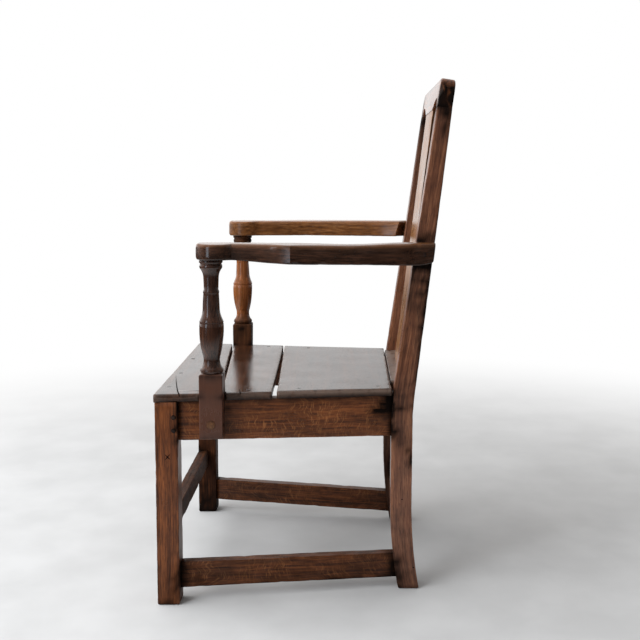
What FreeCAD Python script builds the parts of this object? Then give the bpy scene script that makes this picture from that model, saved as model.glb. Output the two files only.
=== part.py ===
import FreeCAD, Part
import math
import os
import re
import Sketcher

# A joined oak armchair with a boarded seat, turned arm supports, shaped flat arms and one plain
# back splat. Lengths are millimetres and angles degrees. The chair stands on z = 0, faces -Y, and is
# the same on both sides of x = 0. It is drawn with y = 0 at the front of the front legs, and every
# finished piece is then moved back by frame_shift, so that the origin is under the middle of the chair.

# Driving dimensions
SIZES = (
    ("seat_height", 405, "floor to the top of the seat"),
    ("front_width", 556, "over the outsides of the front legs"),
    ("back_width", 416, "over the outsides of the back posts"),
    ("post_front", 440.5, "front of the front legs to the front of the upright posts"),
    ("leg_width", 42, "side of a square front leg"),
    ("foot_chamfer", 3, "wear at the bottom edges of a front leg"),
    ("post_width", 38, "back post, across the chair"),
    ("post_depth", 41.5, "back post, front to back, below the seat"),
    ("post_top_depth", 28.5, "back post, front to back, under the crest"),
    ("post_rise", 534, "seat to the front top edge of a post"),
    ("foot_sweep", 16.5, "how far the foot of a post runs out behind"),
    ("sweep_height", 180, "height at which that sweep starts"),
    ("bend_drop", 75, "start of a post's lean, below the seat"),
    ("bend_radius", 600, "front radius of the bend into the lean"),
    ("back_rake", 8, "lean of the back"),
    ("rail_thick", 25, "thickness of the seat rails"),
    ("rail_front_depth", 73, "height of the seat rails at the front"),
    ("rail_back_depth", 82, "height of the seat rails at the back"),
    ("rail_inset", 3, "seat rails behind the outer faces of legs and posts"),
    ("back_rail_inset", 1.5, "back rail in front of the backs of the posts"),
    ("tenon_thick", 10, "thickness of the tenons"),
    ("tenon_length", 26, "tenons of the front and back rails and stretchers"),
    ("tenon_shoulder", 7, "tenon cut back above and below"),
    ("tenon_web", 4, "wood left between two mortises"),
    ("stretcher_thick", 22, "thickness of the stretchers"),
    ("stretcher_depth", 49, "height of a side stretcher"),
    ("stretcher_inset", 6, "side stretchers behind the outer faces of the legs"),
    ("stretcher_front_height", 30, "floor to a side stretcher at the front"),
    ("stretcher_back_height", 22, "floor to a side stretcher at the back"),
    ("cross_stretcher_top", 152, "floor to the top of the front and back stretchers"),
    ("cross_stretcher_depth", 38, "height of the front and back stretchers"),
    ("front_stretcher_inset", 1, "front stretcher behind the fronts of the legs"),
    ("board_thick", 15, "thickness of the seat boards"),
    ("front_overhang", 2, "front board past the front legs"),
    ("front_side_overhang", 3, "front corners of the seat past the legs"),
    ("back_side_overhang", 11, "back corners of the seat past the posts"),
    ("front_gap_skew", 4, "turn of the first gap"),
    ("front_gap_wide", 4, "width of the first gap"),
    ("back_gap_at", 211, "second gap between boards, at the middle"),
    ("back_gap_skew", 1.7, "turn of the second gap"),
    ("back_gap_wide", 6.5, "width of the second gap"),
    ("notch_clearance", 0.8, "seat boards round the arm supports"),
    ("shoe_depth", 39, "shoe of the splat, front to back"),
    ("shoe_rise", 4, "shoe above the seat"),
    ("splat_width", 165, "back splat, across"),
    ("splat_thick", 12, "back splat, front to back"),
    ("splat_inset", 1.5, "splat behind the front of the posts, at the crest"),
    ("splat_set_back", 12, "how much further behind it stands at the shoe"),
    ("splat_housing", 10, "depth of the splat in the crest and in the shoe"),
    ("crest_height", 54, "crest rail, along the lean"),
    ("crest_thick", 28, "crest rail, front to back"),
    ("crest_corner", 25, "round of the upper corners"),
    ("crest_arch", 18, "rise of the two arches under the crest"),
    ("crest_arch_end", 11, "small round of an arch beside the post"),
    ("crest_ease", 4, "round of the upper edges"),
    ("crest_tenon_length", 26, "tenon at the top of a post"),
    ("crest_tenon_width", 20, "that tenon, across the chair"),
    ("support_inset", 11, "centre of a support inside the outer faces of the legs"),
    ("support_at", 105, "front of the legs to the centre of a support"),
    ("block_width", 43, "square block of a support"),
    ("block_rise", 39, "block above the seat"),
    ("block_lift", 7, "block above the lower edge of the side rail"),
    ("block_ease", 3, "bevel round the top of the block"),
    ("foot_ring_dia", 43, "ring on the block"),
    ("foot_ring_high", 11, "height of that ring"),
    ("neck_dia", 29.5, "neck under the vase"),
    ("neck_rise", 24.5, "that neck above the block"),
    ("vase_dia", 44.4, "widest part of the vase"),
    ("vase_rise", 81, "that part above the block"),
    ("vase_low_dia", 33.2, "vase where the hollow of its neck ends"),
    ("vase_low_rise", 35, "that end above the block"),
    ("vase_side_dia", 39.1, "vase where its swell starts"),
    ("vase_side_rise", 48, "that start above the block"),
    ("groove_rise", 92, "turned groove above the block"),
    ("groove_wide", 3, "width of the turned groove"),
    ("groove_depth", 1.2, "depth of the turned groove"),
    ("shoulder_rise", 100, "shoulder of the vase above the block"),
    ("shoulder_dia", 41.2, "shoulder of the vase"),
    ("stem_dia", 30.8, "stem over the shoulder"),
    ("stem_rise", 122.5, "start of the stem above the block"),
    ("waist_dia", 28.2, "top of the stem"),
    ("waist_drop", 62, "top of the stem below the arm"),
    ("bead_dia", 29.4, "thin ring on the stem"),
    ("bead_high", 3, "height of that ring"),
    ("upper_neck_dia", 26.8, "neck over that ring"),
    ("upper_neck_drop", 55, "that neck below the arm"),
    ("flare_dia", 27.9, "start of the cove under the collar"),
    ("flare_drop", 33, "that cove below the arm"),
    ("cove_dia", 38.4, "top of the cove"),
    ("collar_dia", 41.8, "collar under the arm"),
    ("collar_drop", 17, "collar below the arm"),
    ("collar_high", 9.5, "height of the collar"),
    ("cap_dia", 43.2, "cap between collar and arm"),
    ("cap_high", 5, "height of that cap"),
    ("arm_tenon_dia", 22, "round tenon of a support in its arm"),
    ("arm_tenon_length", 18, "length of that tenon"),
    ("arm_rise", 280, "seat to the top of the left arm"),
    ("arm_thick", 31, "arm at the front"),
    ("arm_drop", 13, "extra thickness of the left arm at the back"),
    ("right_arm_extra", 3.5, "extra thickness of the right arm all along"),
    ("right_arm_tilt", 5, "underside of the right arm at the back, above its front"),
    ("right_arm_rise", 6, "top of the right arm at the back, above its front"),
    ("right_grip_reach", 4, "right hand grip in front of the left one"),
    ("arm_nose", 7, "round of the arm's tip, seen from the side"),
    ("right_arm_lift", 11.5, "underside of the right arm above the left one, as on the old chair"),
    ("paddle_radius", 38, "round hand grip"),
    ("paddle_at", 116, "front of the legs to the centre of the grip"),
    ("arm_neck", 49, "arm behind the grip"),
    ("elbow_reach", 32, "elbow past the outer faces of the legs"),
    ("elbow_at", 252, "front of the legs to the elbow"),
    ("elbow_hollow", 320, "hollow between the grip and the elbow"),
    ("rear_hollow", 1500, "hollow between the elbow and the post"),
    ("inner_bow", 1060, "bow of the inner edge"),
    ("arm_overlap", 14, "inner edge of the arm inside the outer faces of the posts"),
    ("arm_shoulder", 20, "slanted shoulder in front of the post"),
    ("tongue_thick", 21, "tongue that laps the outside of the post"),
    ("arm_peg_cover", 9, "wood of the arm past its tongue at the peg"),
    ("peg_dia", 9, "pegs of the joints"),
    ("peg_edge", 7, "pegs from the shoulder of the joint"),
    ("peg_drop", 4, "pegs of the front joints below the middle of the rails"),
    ("peg_spacing", 25, "between the two pegs of a rail"),
    ("peg_proud", 0.6, "peg ends outside the wood"),
    ("peg_clearance", 0.15, "round the pegs and nails"),
    ("plug_dia", 17, "large peg of an arm support"),
    ("plug_drop", 40, "that peg below the top of the rail"),
    ("nail_dia", 4, "shank of a seat nail"),
    ("nail_head_dia", 8, "head of a seat nail"),
    ("nail_head_high", 1.5, "height of that head"),
    ("nail_length", 42, "length of a seat nail"),
    ("nail_edge", 26, "outer nails from the ends of a board"),
)

# Formulas that several pieces share, in words of the sheet above
SHARED = {
    "front_half": "front_width / 2",
    "back_half": "back_width / 2",
    "side_angle": "atan((front_width - back_width) / 2 / post_front)",
    "rail_top": "seat_height - board_thick",
    "post_top": "seat_height + post_rise",
    "bend_height": "seat_height - bend_drop",
    "leg_inside": "front_half - leg_width",
    "post_inside": "back_half - post_width",
    "lean_y": "post_front + bend_radius * (1 - cos(back_rake))",
    "lean_z": "bend_height + bend_radius * sin(back_rake)",
    "top_y": "lean_y + (post_top - lean_z) * tan(back_rake)",
    "back_lean_y": "lean_y + post_depth * cos(back_rake)",
    "back_lean_z": "lean_z - post_depth * sin(back_rake)",
    "back_top_y": "top_y + post_top_depth * cos(back_rake)",
    "back_top_z": "post_top - post_top_depth * sin(back_rake)",
    "back_slope": "(back_top_y - back_lean_y) / (back_top_z - back_lean_z)",
    "splat_rise": "post_top - seat_height - shoe_rise",
    "splat_rake": "back_rake - atan(splat_set_back * cos(back_rake) / splat_rise) / (1 deg)",
    "sweep_radius": "(sweep_height * sweep_height + foot_sweep * foot_sweep) / (2 * foot_sweep)",
    "arm_top": "seat_height + arm_rise",
    "arm_under": "arm_top - arm_thick",
    "arm_front_y": "paddle_at - paddle_radius",
    "arm_x": "front_half - support_inset",
    "notch_front": "support_at - block_width / 2 - notch_clearance",
    "notch_inside": "arm_x - block_width / 2 - notch_clearance",
    "front_gap_at": "notch_front + (notch_inside + block_width) * tan(front_gap_skew)"
                    " - front_gap_wide / 2 / cos(front_gap_skew)",
    "seat_front_half": "front_half + front_side_overhang",
    "seat_back_half": "back_half + back_side_overhang",
    "crease_y": "paddle_at + sqrt(paddle_radius * paddle_radius - arm_neck * arm_neck / 4)",
    "block_top": "seat_height + block_rise",
    "block_bottom": "rail_top - rail_front_depth + block_lift",
    "crest_reach": "top_y + (crest_thick - crest_ease) * cos(back_rake)"
                   " + (crest_height - crest_ease) * sin(back_rake) + crest_ease",
    "frame_shift": "(crest_reach - front_overhang) / 2",
    "front_tenon_back": "rail_inset + (rail_thick + tenon_thick) / 2",
    "back_rail_y": "post_front + post_depth - back_rail_inset - rail_thick",
    "side_tenon_start": "front_tenon_back + tenon_web + rail_thick * sin(side_angle)",
    "side_tenon_end": "back_rail_y + (rail_thick - tenon_thick) / 2 - tenon_web",
}

doc = FreeCAD.newDocument("Armchair")
sheet = doc.addObject("Spreadsheet::Sheet", "Sizes")
for row, (alias, value, note) in enumerate(SIZES, start=1):
    sheet.set(f"A{row}", alias)
    sheet.set(f"B{row}", str(value))
    sheet.set(f"C{row}", note)
    sheet.setAlias(f"B{row}", alias)
doc.recompute()

ALIASES = {alias for alias, value, note in SIZES}
UP = FreeCAD.Vector(0, 0, 1)
ACROSS = FreeCAD.Vector(1, 0, 0)
nodes = []


def formula(text):
    """The expression for a text in words of the sheet and of the shared formulas."""
    def spelled(word):
        name = word.group(0)
        if name in SHARED:
            return "(" + formula(SHARED[name]) + ")"
        if name in ALIASES:
            return "Sizes." + name
        return name
    return re.sub(r"[a-z_]+", spelled, text)


def value_of(text):
    """The number that a formula has now, for the first drawing of a sketch."""
    result = sheet.evalExpression(formula(text))
    return getattr(result, "Value", result)


def bind(thing, formulas):
    """Ties properties of an object to formulas."""
    for prop, text in formulas.items():
        thing.setExpression(prop, formula(text))


def place(thing, corner=("0", "0", "0"), axis=UP, turn=None):
    """Moves an object to a corner and turns it about an axis through that corner."""
    if turn:
        thing.Placement = FreeCAD.Placement(FreeCAD.Vector(), FreeCAD.Rotation(axis, 10))
        bind(thing, {"Placement.Rotation.Angle": turn})
    bind(thing, dict(zip(("Placement.Base.x", "Placement.Base.y", "Placement.Base.z"), corner)))
    return thing


def box(name, size, corner, axis=UP, turn=None):
    """A squared piece of wood."""
    piece = doc.addObject("Part::Box", name)
    bind(piece, dict(zip(("Length", "Width", "Height"), size)))
    return place(piece, corner, axis, turn)


def bar(name, diameter, length, start, axis, turn):
    """A round bar that starts at a point and runs along z, turned about an axis."""
    piece = doc.addObject("Part::Cylinder", name)
    bind(piece, {"Radius": f"({diameter}) / 2", "Height": length})
    return place(piece, start, axis, turn)


def middle_of(start, end, radius, side):
    """A point on the arc of that radius between two points, with its centre on one side."""
    chord = end - start
    half = chord.Length / 2
    rise = radius - math.sqrt(max(radius * radius - half * half, 0))
    right = FreeCAD.Vector(chord.y, -chord.x, 0).normalize()
    return (start + end) / 2 + right * (rise if side == "left" else -rise)


def sketch_of(body, name, plane, corners, arcs=None, offset="0"):
    """A closed outline. An arc replaces the side after its corner, with its radius and the side, left
    or right of the way round, on which its centre lies."""
    arcs = arcs or {}
    sketch = body.newObject("Sketcher::SketchObject", name)
    datum = [feature for feature in body.Origin.OriginFeatures if feature.Role == plane][0]
    sketch.AttachmentSupport = (datum, [""])
    sketch.MapMode = "FlatFace"
    bind(sketch, {"AttachmentOffset.Base.z": offset})
    points = [FreeCAD.Vector(value_of(x), value_of(y), 0) for x, y in corners]
    count = len(points)
    for side, start in enumerate(points):
        end = points[(side + 1) % count]
        if side in arcs:
            radius, centre_side = arcs[side]
            middle = middle_of(start, end, value_of(radius), centre_side)
            sketch.addGeometry(Part.ArcOfCircle(start, middle, end))
        else:
            sketch.addGeometry(Part.LineSegment(start, end))
    # an arc is stored anticlockwise, so one with its centre on the right starts at its far corner
    first = [2 if side in arcs and arcs[side][1] == "right" else 1 for side in range(count)]
    for side in range(count):
        after = (side + 1) % count
        sketch.addConstraint(Sketcher.Constraint("Coincident", side, 3 - first[side], after, first[after]))
    for side, (x, y) in enumerate(corners):
        across = sketch.addConstraint(
            Sketcher.Constraint("DistanceX", -1, 1, side, first[side], points[side].x))
        up = sketch.addConstraint(
            Sketcher.Constraint("DistanceY", -1, 1, side, first[side], points[side].y))
        bind(sketch, {f"Constraints[{across}]": x, f"Constraints[{up}]": y})
    for side, (radius, centre_side) in arcs.items():
        datum = sketch.addConstraint(Sketcher.Constraint("Radius", side, value_of(radius)))
        bind(sketch, {f"Constraints[{datum}]": radius})
    return sketch


def pad(body, name, sketch, length, reverse=False):
    """Thickens an outline."""
    feature = body.newObject("PartDesign::Pad", name)
    feature.Profile = sketch
    feature.Reversed = reverse
    bind(feature, {"Length": length})
    return feature


def plank(name, plane, corners, length, arcs=None, offset="0", reverse=False):
    """A body made of one padded outline."""
    body = doc.addObject("PartDesign::Body", name)
    sketch = sketch_of(body, name + "_outline", plane, corners, arcs, offset)
    pad(body, name + "_pad", sketch, length, reverse)
    return body


def joined(name, pieces):
    """Several pieces as one."""
    result = doc.addObject("Part::MultiFuse", name)
    result.Shapes = pieces
    return result


def cut(name, base, tools):
    """A piece with other pieces cut out of it."""
    result = doc.addObject("Part::Cut", name)
    result.Base = base
    result.Tool = tools[0] if len(tools) == 1 else joined(name + "_tools", tools)
    return result


def shared(name, one, other):
    """What two pieces have in common."""
    result = doc.addObject("Part::Common", name)
    result.Base = one
    result.Tool = other
    return result


def mirrored(name, source):
    """The same piece on the other side of the chair."""
    result = doc.addObject("Part::Mirroring", name)
    result.Source = source
    result.Base = FreeCAD.Vector(0, 0, 0)
    result.Normal = ACROSS
    return result


def group(name, pieces):
    """Separate solids that share a name."""
    result = doc.addObject("Part::Compound", name)
    result.Links = pieces
    return result


def finished(piece):
    """Keeps a piece as a sub-part, moved to the chair's own origin."""
    bind(piece, {"Placement.Base.y": "-frame_shift"})
    nodes.append(piece)
    return piece


def pair(piece):
    """Keeps a left piece and its mirror image on the right."""
    left = finished(piece)
    nodes.append(mirrored(left.Label.replace("_left", "_right"), left))


# Front leg: square, with worn edges at the foot
leg_blank = plank("leg_blank", "XY_Plane", (
    ("leg_inside", "0"),
    ("front_half", "0"),
    ("front_half", "leg_width"),
    ("leg_inside", "leg_width"),
), "rail_top")
doc.recompute()
foot_edges = [
    f"Edge{index}" for index, edge in enumerate(leg_blank.Shape.Edges, start=1)
    if edge.BoundBox.ZMax < value_of("foot_chamfer")
]
foot_wear = leg_blank.newObject("PartDesign::Chamfer", "foot_wear")
foot_wear.Base = (leg_blank.getObject("leg_blank_pad"), foot_edges)
bind(foot_wear, {"Size": "foot_chamfer"})

# Back post: one piece from the floor to the crest, swept back at the foot and leaning above the seat
post_sides = (
    ("post_front + foot_sweep", "0"),
    ("post_front + foot_sweep + post_depth", "0"),
    ("post_front + post_depth", "sweep_height"),
    ("post_front + post_depth", "bend_height"),
    ("back_lean_y", "back_lean_z"),
    ("back_top_y", "back_top_z"),
    ("top_y", "post_top"),
    ("lean_y", "lean_z"),
    ("post_front", "bend_height"),
    ("post_front", "sweep_height"),
)
post_arcs = {
    1: ("sweep_radius", "right"),
    3: ("bend_radius - post_depth", "right"),
    7: ("bend_radius", "left"),
    9: ("sweep_radius", "left"),
}
post_blank = plank("post_blank", "YZ_Plane", post_sides, "post_width", post_arcs, "post_inside")

# Tenon at the top of a post, square to the lean
post_tenon = box(
    "post_tenon",
    ("crest_tenon_width", "tenon_thick", "crest_tenon_length + tenon_shoulder"),
    ("post_inside + (post_width - crest_tenon_width) / 2",
     "top_y + (crest_thick - tenon_thick) / 2 * cos(back_rake) - tenon_shoulder * sin(back_rake)",
     "post_top - (crest_thick - tenon_thick) / 2 * sin(back_rake) - tenon_shoulder * cos(back_rake)"),
    ACROSS, "-back_rake")
tenoned_post = joined("tenoned_post", [post_blank, post_tenon])


def side_bar(name, inset, thick, ends, low, high, trim="0", side_trim="0"):
    """A bar along the splayed side. x is measured along its outer face from the front of the legs, and
    low and high are its lower and upper edges at the front of the leg and of the post."""
    corners = []
    for edge, ease, order in ((low, trim, ends), (high, f"-({trim})", reversed(ends))):
        slope = f"(({edge[1]}) - ({edge[0]})) * cos(side_angle) / post_front"
        corners += [(x, f"{edge[0]} + ({x}) * {slope} + ({ease})") for x in order]
    body = plank(name, "XZ_Plane", corners, f"{thick} - 2 * ({side_trim})",
                 offset=f"-({side_trim})", reverse=True)
    return place(body, (f"front_half - {inset}", "0", "0"), UP, "90 deg + side_angle")


def tenoned_side_bar(name, inset, thick, tenon_end, low, high):
    """A side rail or stretcher: shoulders scribed to leg and post, and a tenon at each end."""
    plain = side_bar(name + "_bar", inset, thick, ("leg_width / 2", "post_front + post_depth / 2"), low, high)
    scribed = cut(name + "_scribed", plain, [leg_blank, post_blank])
    ends = ("side_tenon_start", f"({tenon_end}) / cos(side_angle)")
    tongue = side_bar(name + "_tenon", inset, thick, ends, low, high,
                      "tenon_shoulder", f"({thick} - tenon_thick) / 2")
    return tongue, joined(name + "_joined", [scribed, tongue])


# Side rails and side stretchers
side_rail_tenon, side_rail = tenoned_side_bar(
    "side_rail", "rail_inset", "rail_thick", "side_tenon_end",
    ("rail_top - rail_front_depth", "rail_top - rail_back_depth"), ("rail_top", "rail_top"))
side_stretcher_tenon, side_stretcher = tenoned_side_bar(
    "side_stretcher", "stretcher_inset", "stretcher_thick", "post_front + (foot_sweep + post_depth) / 2",
    ("stretcher_front_height", "stretcher_back_height"),
    ("stretcher_front_height + stretcher_depth", "stretcher_back_height + stretcher_depth"))


def cross_bar(name, half, thick, front, top, depth):
    """A bar from side to side with a tenon through it from end to end."""
    plain = box(name + "_bar", (f"2 * ({half})", thick, depth),
                (f"-({half})", front, f"({top}) - ({depth})"))
    tongue = box(name + "_tenon",
                 (f"2 * ({half} + tenon_length)", "tenon_thick", f"({depth}) - 2 * tenon_shoulder"),
                 (f"-({half}) - tenon_length", f"({front}) + (({thick}) - tenon_thick) / 2",
                  f"({top}) - ({depth}) + tenon_shoulder"))
    return tongue, joined(name + "_joined", [plain, tongue])


# Front and back rails and stretchers
front_rail_tenon, front_rail = cross_bar(
    "front_rail", "leg_inside", "rail_thick", "rail_inset", "rail_top", "rail_front_depth")
back_rail_tenon, back_rail = cross_bar(
    "back_rail", "post_inside", "rail_thick", "back_rail_y", "rail_top", "rail_back_depth")
front_stretcher_tenon, front_stretcher = cross_bar(
    "front_stretcher", "leg_inside", "stretcher_thick", "front_stretcher_inset",
    "cross_stretcher_top", "cross_stretcher_depth")
back_stretcher_tenon, back_stretcher = cross_bar(
    "back_stretcher", "post_inside", "stretcher_thick",
    "post_front + foot_sweep + (post_depth - stretcher_thick) / 2 - foot_sweep / 2",
    "cross_stretcher_top", "cross_stretcher_depth")

# Back splat, housed in the crest above and in the shoe below
splat_length = "splat_rise / cos(splat_rake) + 2 * splat_housing"
splat = box(
    "splat_blank", ("splat_width", "splat_thick", splat_length),
    ("-splat_width / 2",
     "top_y + splat_inset * cos(back_rake) - (" + splat_length + " - splat_housing) * sin(splat_rake)",
     "post_top - splat_inset * sin(back_rake) - (" + splat_length + " - splat_housing) * cos(splat_rake)"),
    ACROSS, "-(splat_rake)")

# Shoe between the posts, on the back rail
shoe_blank = box(
    "shoe_blank", ("2 * post_inside", "shoe_depth", "board_thick + shoe_rise"),
    ("-(post_inside)", "post_front", "rail_top"))

# Crest rail, drawn flat and then leant back: rounded upper corners, and two arches below that rise
# from the splat to the posts
crest_half = (
    ("back_half + splat_width / 2", "0"),
    ("back_width - post_width - crest_arch_end", "crest_arch"),
    ("back_width - post_width", "crest_arch - crest_arch_end"),
    ("back_width - post_width", "0"),
    ("back_width", "0"),
    ("back_width", "crest_height - crest_corner"),
    ("back_width - crest_corner", "crest_height"),
)
crest_other = tuple((f"back_width - ({x})", z) for x, z in reversed(crest_half))
arch_radius = ("((post_inside - crest_arch_end - splat_width / 2) *"
               " (post_inside - crest_arch_end - splat_width / 2) + crest_arch * crest_arch)"
               " / (2 * crest_arch)")
crest_arcs = {
    0: (arch_radius, "right"),
    1: ("crest_arch_end", "right"),
    5: ("crest_corner", "left"),
    7: ("crest_corner", "left"),
    11: ("crest_arch_end", "right"),
    12: (arch_radius, "right"),
}
crest_blank = plank("crest_blank", "XZ_Plane", crest_half + crest_other, "crest_thick", crest_arcs,
                    reverse=True)
doc.recompute()
upper_edges = [
    f"Edge{index}" for index, edge in enumerate(crest_blank.Shape.Edges, start=1)
    if edge.BoundBox.ZMax > value_of("crest_height - crest_ease")
    and edge.BoundBox.YLength < value_of("crest_ease")
]
crest_round = crest_blank.newObject("PartDesign::Fillet", "crest_round")
crest_round.Base = (crest_blank.getObject("crest_blank_pad"), upper_edges)
bind(crest_round, {"Radius": "crest_ease"})
place(crest_blank, ("-back_half", "top_y", "post_top"), ACROSS, "-back_rake")

# Arm supports: a square block lapped on the side rail, and a turned vase with rings above it


def hollow(run, rise):
    """Radius of an arc that leaves the upright and runs out over a rise."""
    return f"(({rise}) * ({rise}) + ({run}) * ({run})) / (2 * ({run}))"


def bulge(high, depth):
    """Radius of an arc that stands out by a depth over a height."""
    return f"(({high}) * ({high}) / 4 + ({depth}) * ({depth})) / (2 * ({depth}))"


def arm_support(name, lift):
    """A support drawn for the left side, with a block that is taller by a lift."""
    body = doc.addObject("PartDesign::Body", name)
    side = "block_width / 2"
    block = f"(block_top + {lift})"
    under = f"(arm_under + {lift})"
    outline = sketch_of(body, name + "_block_outline", "XY_Plane", (
        (f"-{side}", f"-{side}"),
        (side, f"-{side}"),
        (side, side),
        (f"-{side}", side),
    ), offset="block_bottom")
    square = pad(body, name + "_block", outline, f"{block} - (block_bottom)")
    doc.recompute()
    upper = [f"Edge{index}" for index, edge in enumerate(square.Shape.Edges, start=1)
             if edge.BoundBox.ZMin > value_of(f"{block} - block_ease")]
    bevel = body.newObject("PartDesign::Chamfer", name + "_bevel")
    bevel.Base = (square, upper)
    bind(bevel, {"Size": "block_ease"})
    turning = (
        ("0", f"{block} - block_ease"),
        ("foot_ring_dia / 2 - block_ease", f"{block} - block_ease"),
        ("foot_ring_dia / 2 - block_ease", block),
        ("foot_ring_dia / 2 - block_ease", f"{block} + foot_ring_high"),
        ("neck_dia / 2", f"{block} + neck_rise"),
        ("vase_low_dia / 2", f"{block} + vase_low_rise"),
        ("vase_side_dia / 2", f"{block} + vase_side_rise"),
        ("vase_dia / 2", f"{block} + vase_rise"),
        ("vase_dia / 2", f"{block} + groove_rise"),
        ("vase_dia / 2 - groove_depth", f"{block} + groove_rise + groove_wide / 2"),
        ("vase_dia / 2", f"{block} + groove_rise + groove_wide"),
        ("shoulder_dia / 2", f"{block} + shoulder_rise"),
        ("stem_dia / 2", f"{block} + stem_rise"),
        ("waist_dia / 2", f"{under} - waist_drop"),
        ("bead_dia / 2", f"{under} - waist_drop + bead_high / 2"),
        ("bead_dia / 2", f"{under} - waist_drop + bead_high * 1.5"),
        ("upper_neck_dia / 2", f"{under} - upper_neck_drop"),
        ("flare_dia / 2", f"{under} - flare_drop"),
        ("cove_dia / 2", f"{under} - collar_drop"),
        ("cove_dia / 2", f"{under} - collar_drop + collar_high"),
        ("cap_dia / 2", f"{under} - cap_high"),
        ("cap_dia / 2", under),
        ("arm_tenon_dia / 2", under),
        ("arm_tenon_dia / 2", f"{under} + arm_tenon_length"),
        ("0", f"{under} + arm_tenon_length"),
    )
    arcs = {
        2: (bulge("foot_ring_high", "block_ease"), "left"),
        3: (hollow("foot_ring_dia / 2 - block_ease - neck_dia / 2", "neck_rise - foot_ring_high"), "right"),
        4: (hollow("(vase_low_dia - neck_dia) / 2", "vase_low_rise - neck_rise"), "right"),
        6: (hollow("(vase_dia - vase_side_dia) / 2", "vase_rise - vase_side_rise"), "left"),
        11: (hollow("(shoulder_dia - stem_dia) / 2", "stem_rise - shoulder_rise"), "right"),
        17: (hollow("(cove_dia - flare_dia) / 2", "flare_drop - collar_drop"), "right"),
        18: (bulge("collar_high", "(collar_dia - cove_dia) / 2"), "left"),
    }
    profile = sketch_of(body, name + "_profile", "XZ_Plane", turning, arcs)
    turned = body.newObject("PartDesign::Revolution", name + "_turned")
    turned.Profile = profile
    turned.ReferenceAxis = (profile, ["V_Axis"])
    turned.Angle = 360
    return place(body, ("arm_x", "support_at", "0"))


# The lap takes away what lies inside the outer face of the rail, up to the top of the rail
lap = box("lap", ("2 * post_front", "front_half", "rail_top"), ("front_half - rail_inset", "0", "0"),
          UP, "90 deg + side_angle")


def arm(name, lift, extra, drop, rise, reach):
    """An arm drawn for the left side: sawn to one outline in plan and to another in elevation, with its
    shoulder in front of the post and its end along the back of the post. It is thicker by extra all
    along, its underside falls by drop and its top climbs by rise towards the back, and its grip
    stands further forward by reach."""
    low = f"(arm_under - {drop} + {lift})"
    high = f"(arm_top + {lift} + {extra})"
    tip = f"(arm_front_y - {reach})"
    crease = f"(crease_y - {reach})"
    shoulder = f"(lean_y + ({low} - lean_z) * tan(back_rake))"
    end_low = f"(back_lean_y + ({low} - back_lean_z) * back_slope)"
    rear_high = f"({high} + {rise})"
    end_high = f"(back_lean_y + ({rear_high} - back_lean_z) * back_slope)"
    plan = plank(name + "_plan", "XY_Plane", (
        ("back_half", f"{end_high} + tongue_thick"),
        ("back_half", shoulder),
        ("back_half - arm_overlap", f"{shoulder} - arm_shoulder"),
        ("arm_x - arm_neck / 2", crease),
        ("arm_x", tip),
        ("arm_x + arm_neck / 2", crease),
        ("front_half + elbow_reach", "elbow_at"),
        ("back_half + tongue_thick", f"{end_high} + tongue_thick"),
    ), f"{rear_high} - {low} + 2 * arm_nose", {
        2: ("inner_bow", "right"),
        3: ("paddle_radius", "left"),
        4: ("paddle_radius", "left"),
        5: ("elbow_hollow", "right"),
        6: ("rear_hollow", "right"),
    }, offset=f"{low} - arm_nose")
    elevation = plank(name + "_elevation", "YZ_Plane", (
        (f"{tip} + arm_nose", f"arm_under + {lift}"),
        (end_low, low),
        (end_high, rear_high),
        (f"{tip} + arm_nose", high),
        (tip, f"{high} - arm_nose"),
        (tip, f"arm_under + {lift} + arm_nose"),
    ), "front_width", {
        3: ("arm_nose", "left"),
        5: ("arm_nose", "left"),
    })
    peg_start = ("back_half + tongue_thick + arm_peg_cover + peg_proud",
                 f"({shoulder} + {end_low}) / 2", f"({rear_high} + {low}) / 2")
    return shared(name + "_blank", plan, elevation), peg_start


# Pegs: each has a hole with the same centre line and a named clearance
peg_holes = {}


def peg(name, diameter, length, start, axis, turn):
    """A peg, and the hole that takes it."""
    hole = bar(name + "_hole", f"{diameter} + 2 * peg_clearance", length, start, axis, turn)
    peg_holes[name] = hole
    return bar(name, diameter, length, start, axis, turn)


BACKWARD = FreeCAD.Vector(-1, 0, 0)
INWARD = FreeCAD.Vector(0, -1, 0)
peg_heights = ("rail_top - rail_front_depth / 2 - peg_drop - peg_spacing / 2",
               "rail_top - rail_front_depth / 2 - peg_drop + peg_spacing / 2")
side_pegs = [
    peg(f"side_rail_peg_{number}", "peg_dia", "rail_inset + (rail_thick + tenon_thick) / 2 + peg_proud",
        ("front_half + peg_proud", "leg_width - peg_edge", height), INWARD, "90 deg")
    for number, height in enumerate(peg_heights, start=1)]
front_pegs = [
    peg(f"front_rail_peg_{number}", "peg_dia", "front_tenon_back + peg_proud",
        ("leg_inside + peg_edge", "-peg_proud", height), BACKWARD, "90 deg")
    for number, height in enumerate(peg_heights, start=1)]
back_peg_heights = ("bend_height", "bend_height + peg_spacing")
back_pegs = [
    peg(f"back_rail_peg_{number}", "peg_dia", "back_rail_inset + (rail_thick + tenon_thick) / 2 + peg_proud",
        ("post_inside + peg_edge", "post_front + post_depth + peg_proud", height), ACROSS, "90 deg")
    for number, height in enumerate(back_peg_heights, start=1)]
support_peg = peg("support_peg", "plug_dia", "block_width / 2 + rail_thick",
                  ("arm_x + block_width / 2 + peg_proud", "support_at", "rail_top - plug_drop"),
                  INWARD, "90 deg")
crest_peg = peg(
    "crest_peg", "peg_dia", "(crest_thick + tenon_thick) / 2 + peg_proud",
    ("post_inside + post_width / 2",
     "top_y + (crest_thick + peg_proud) * cos(back_rake) + crest_tenon_length / 2 * sin(back_rake)",
     "post_top - (crest_thick + peg_proud) * sin(back_rake) + crest_tenon_length / 2 * cos(back_rake)"),
    ACROSS, "(90 - back_rake) * 1 deg")

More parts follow.
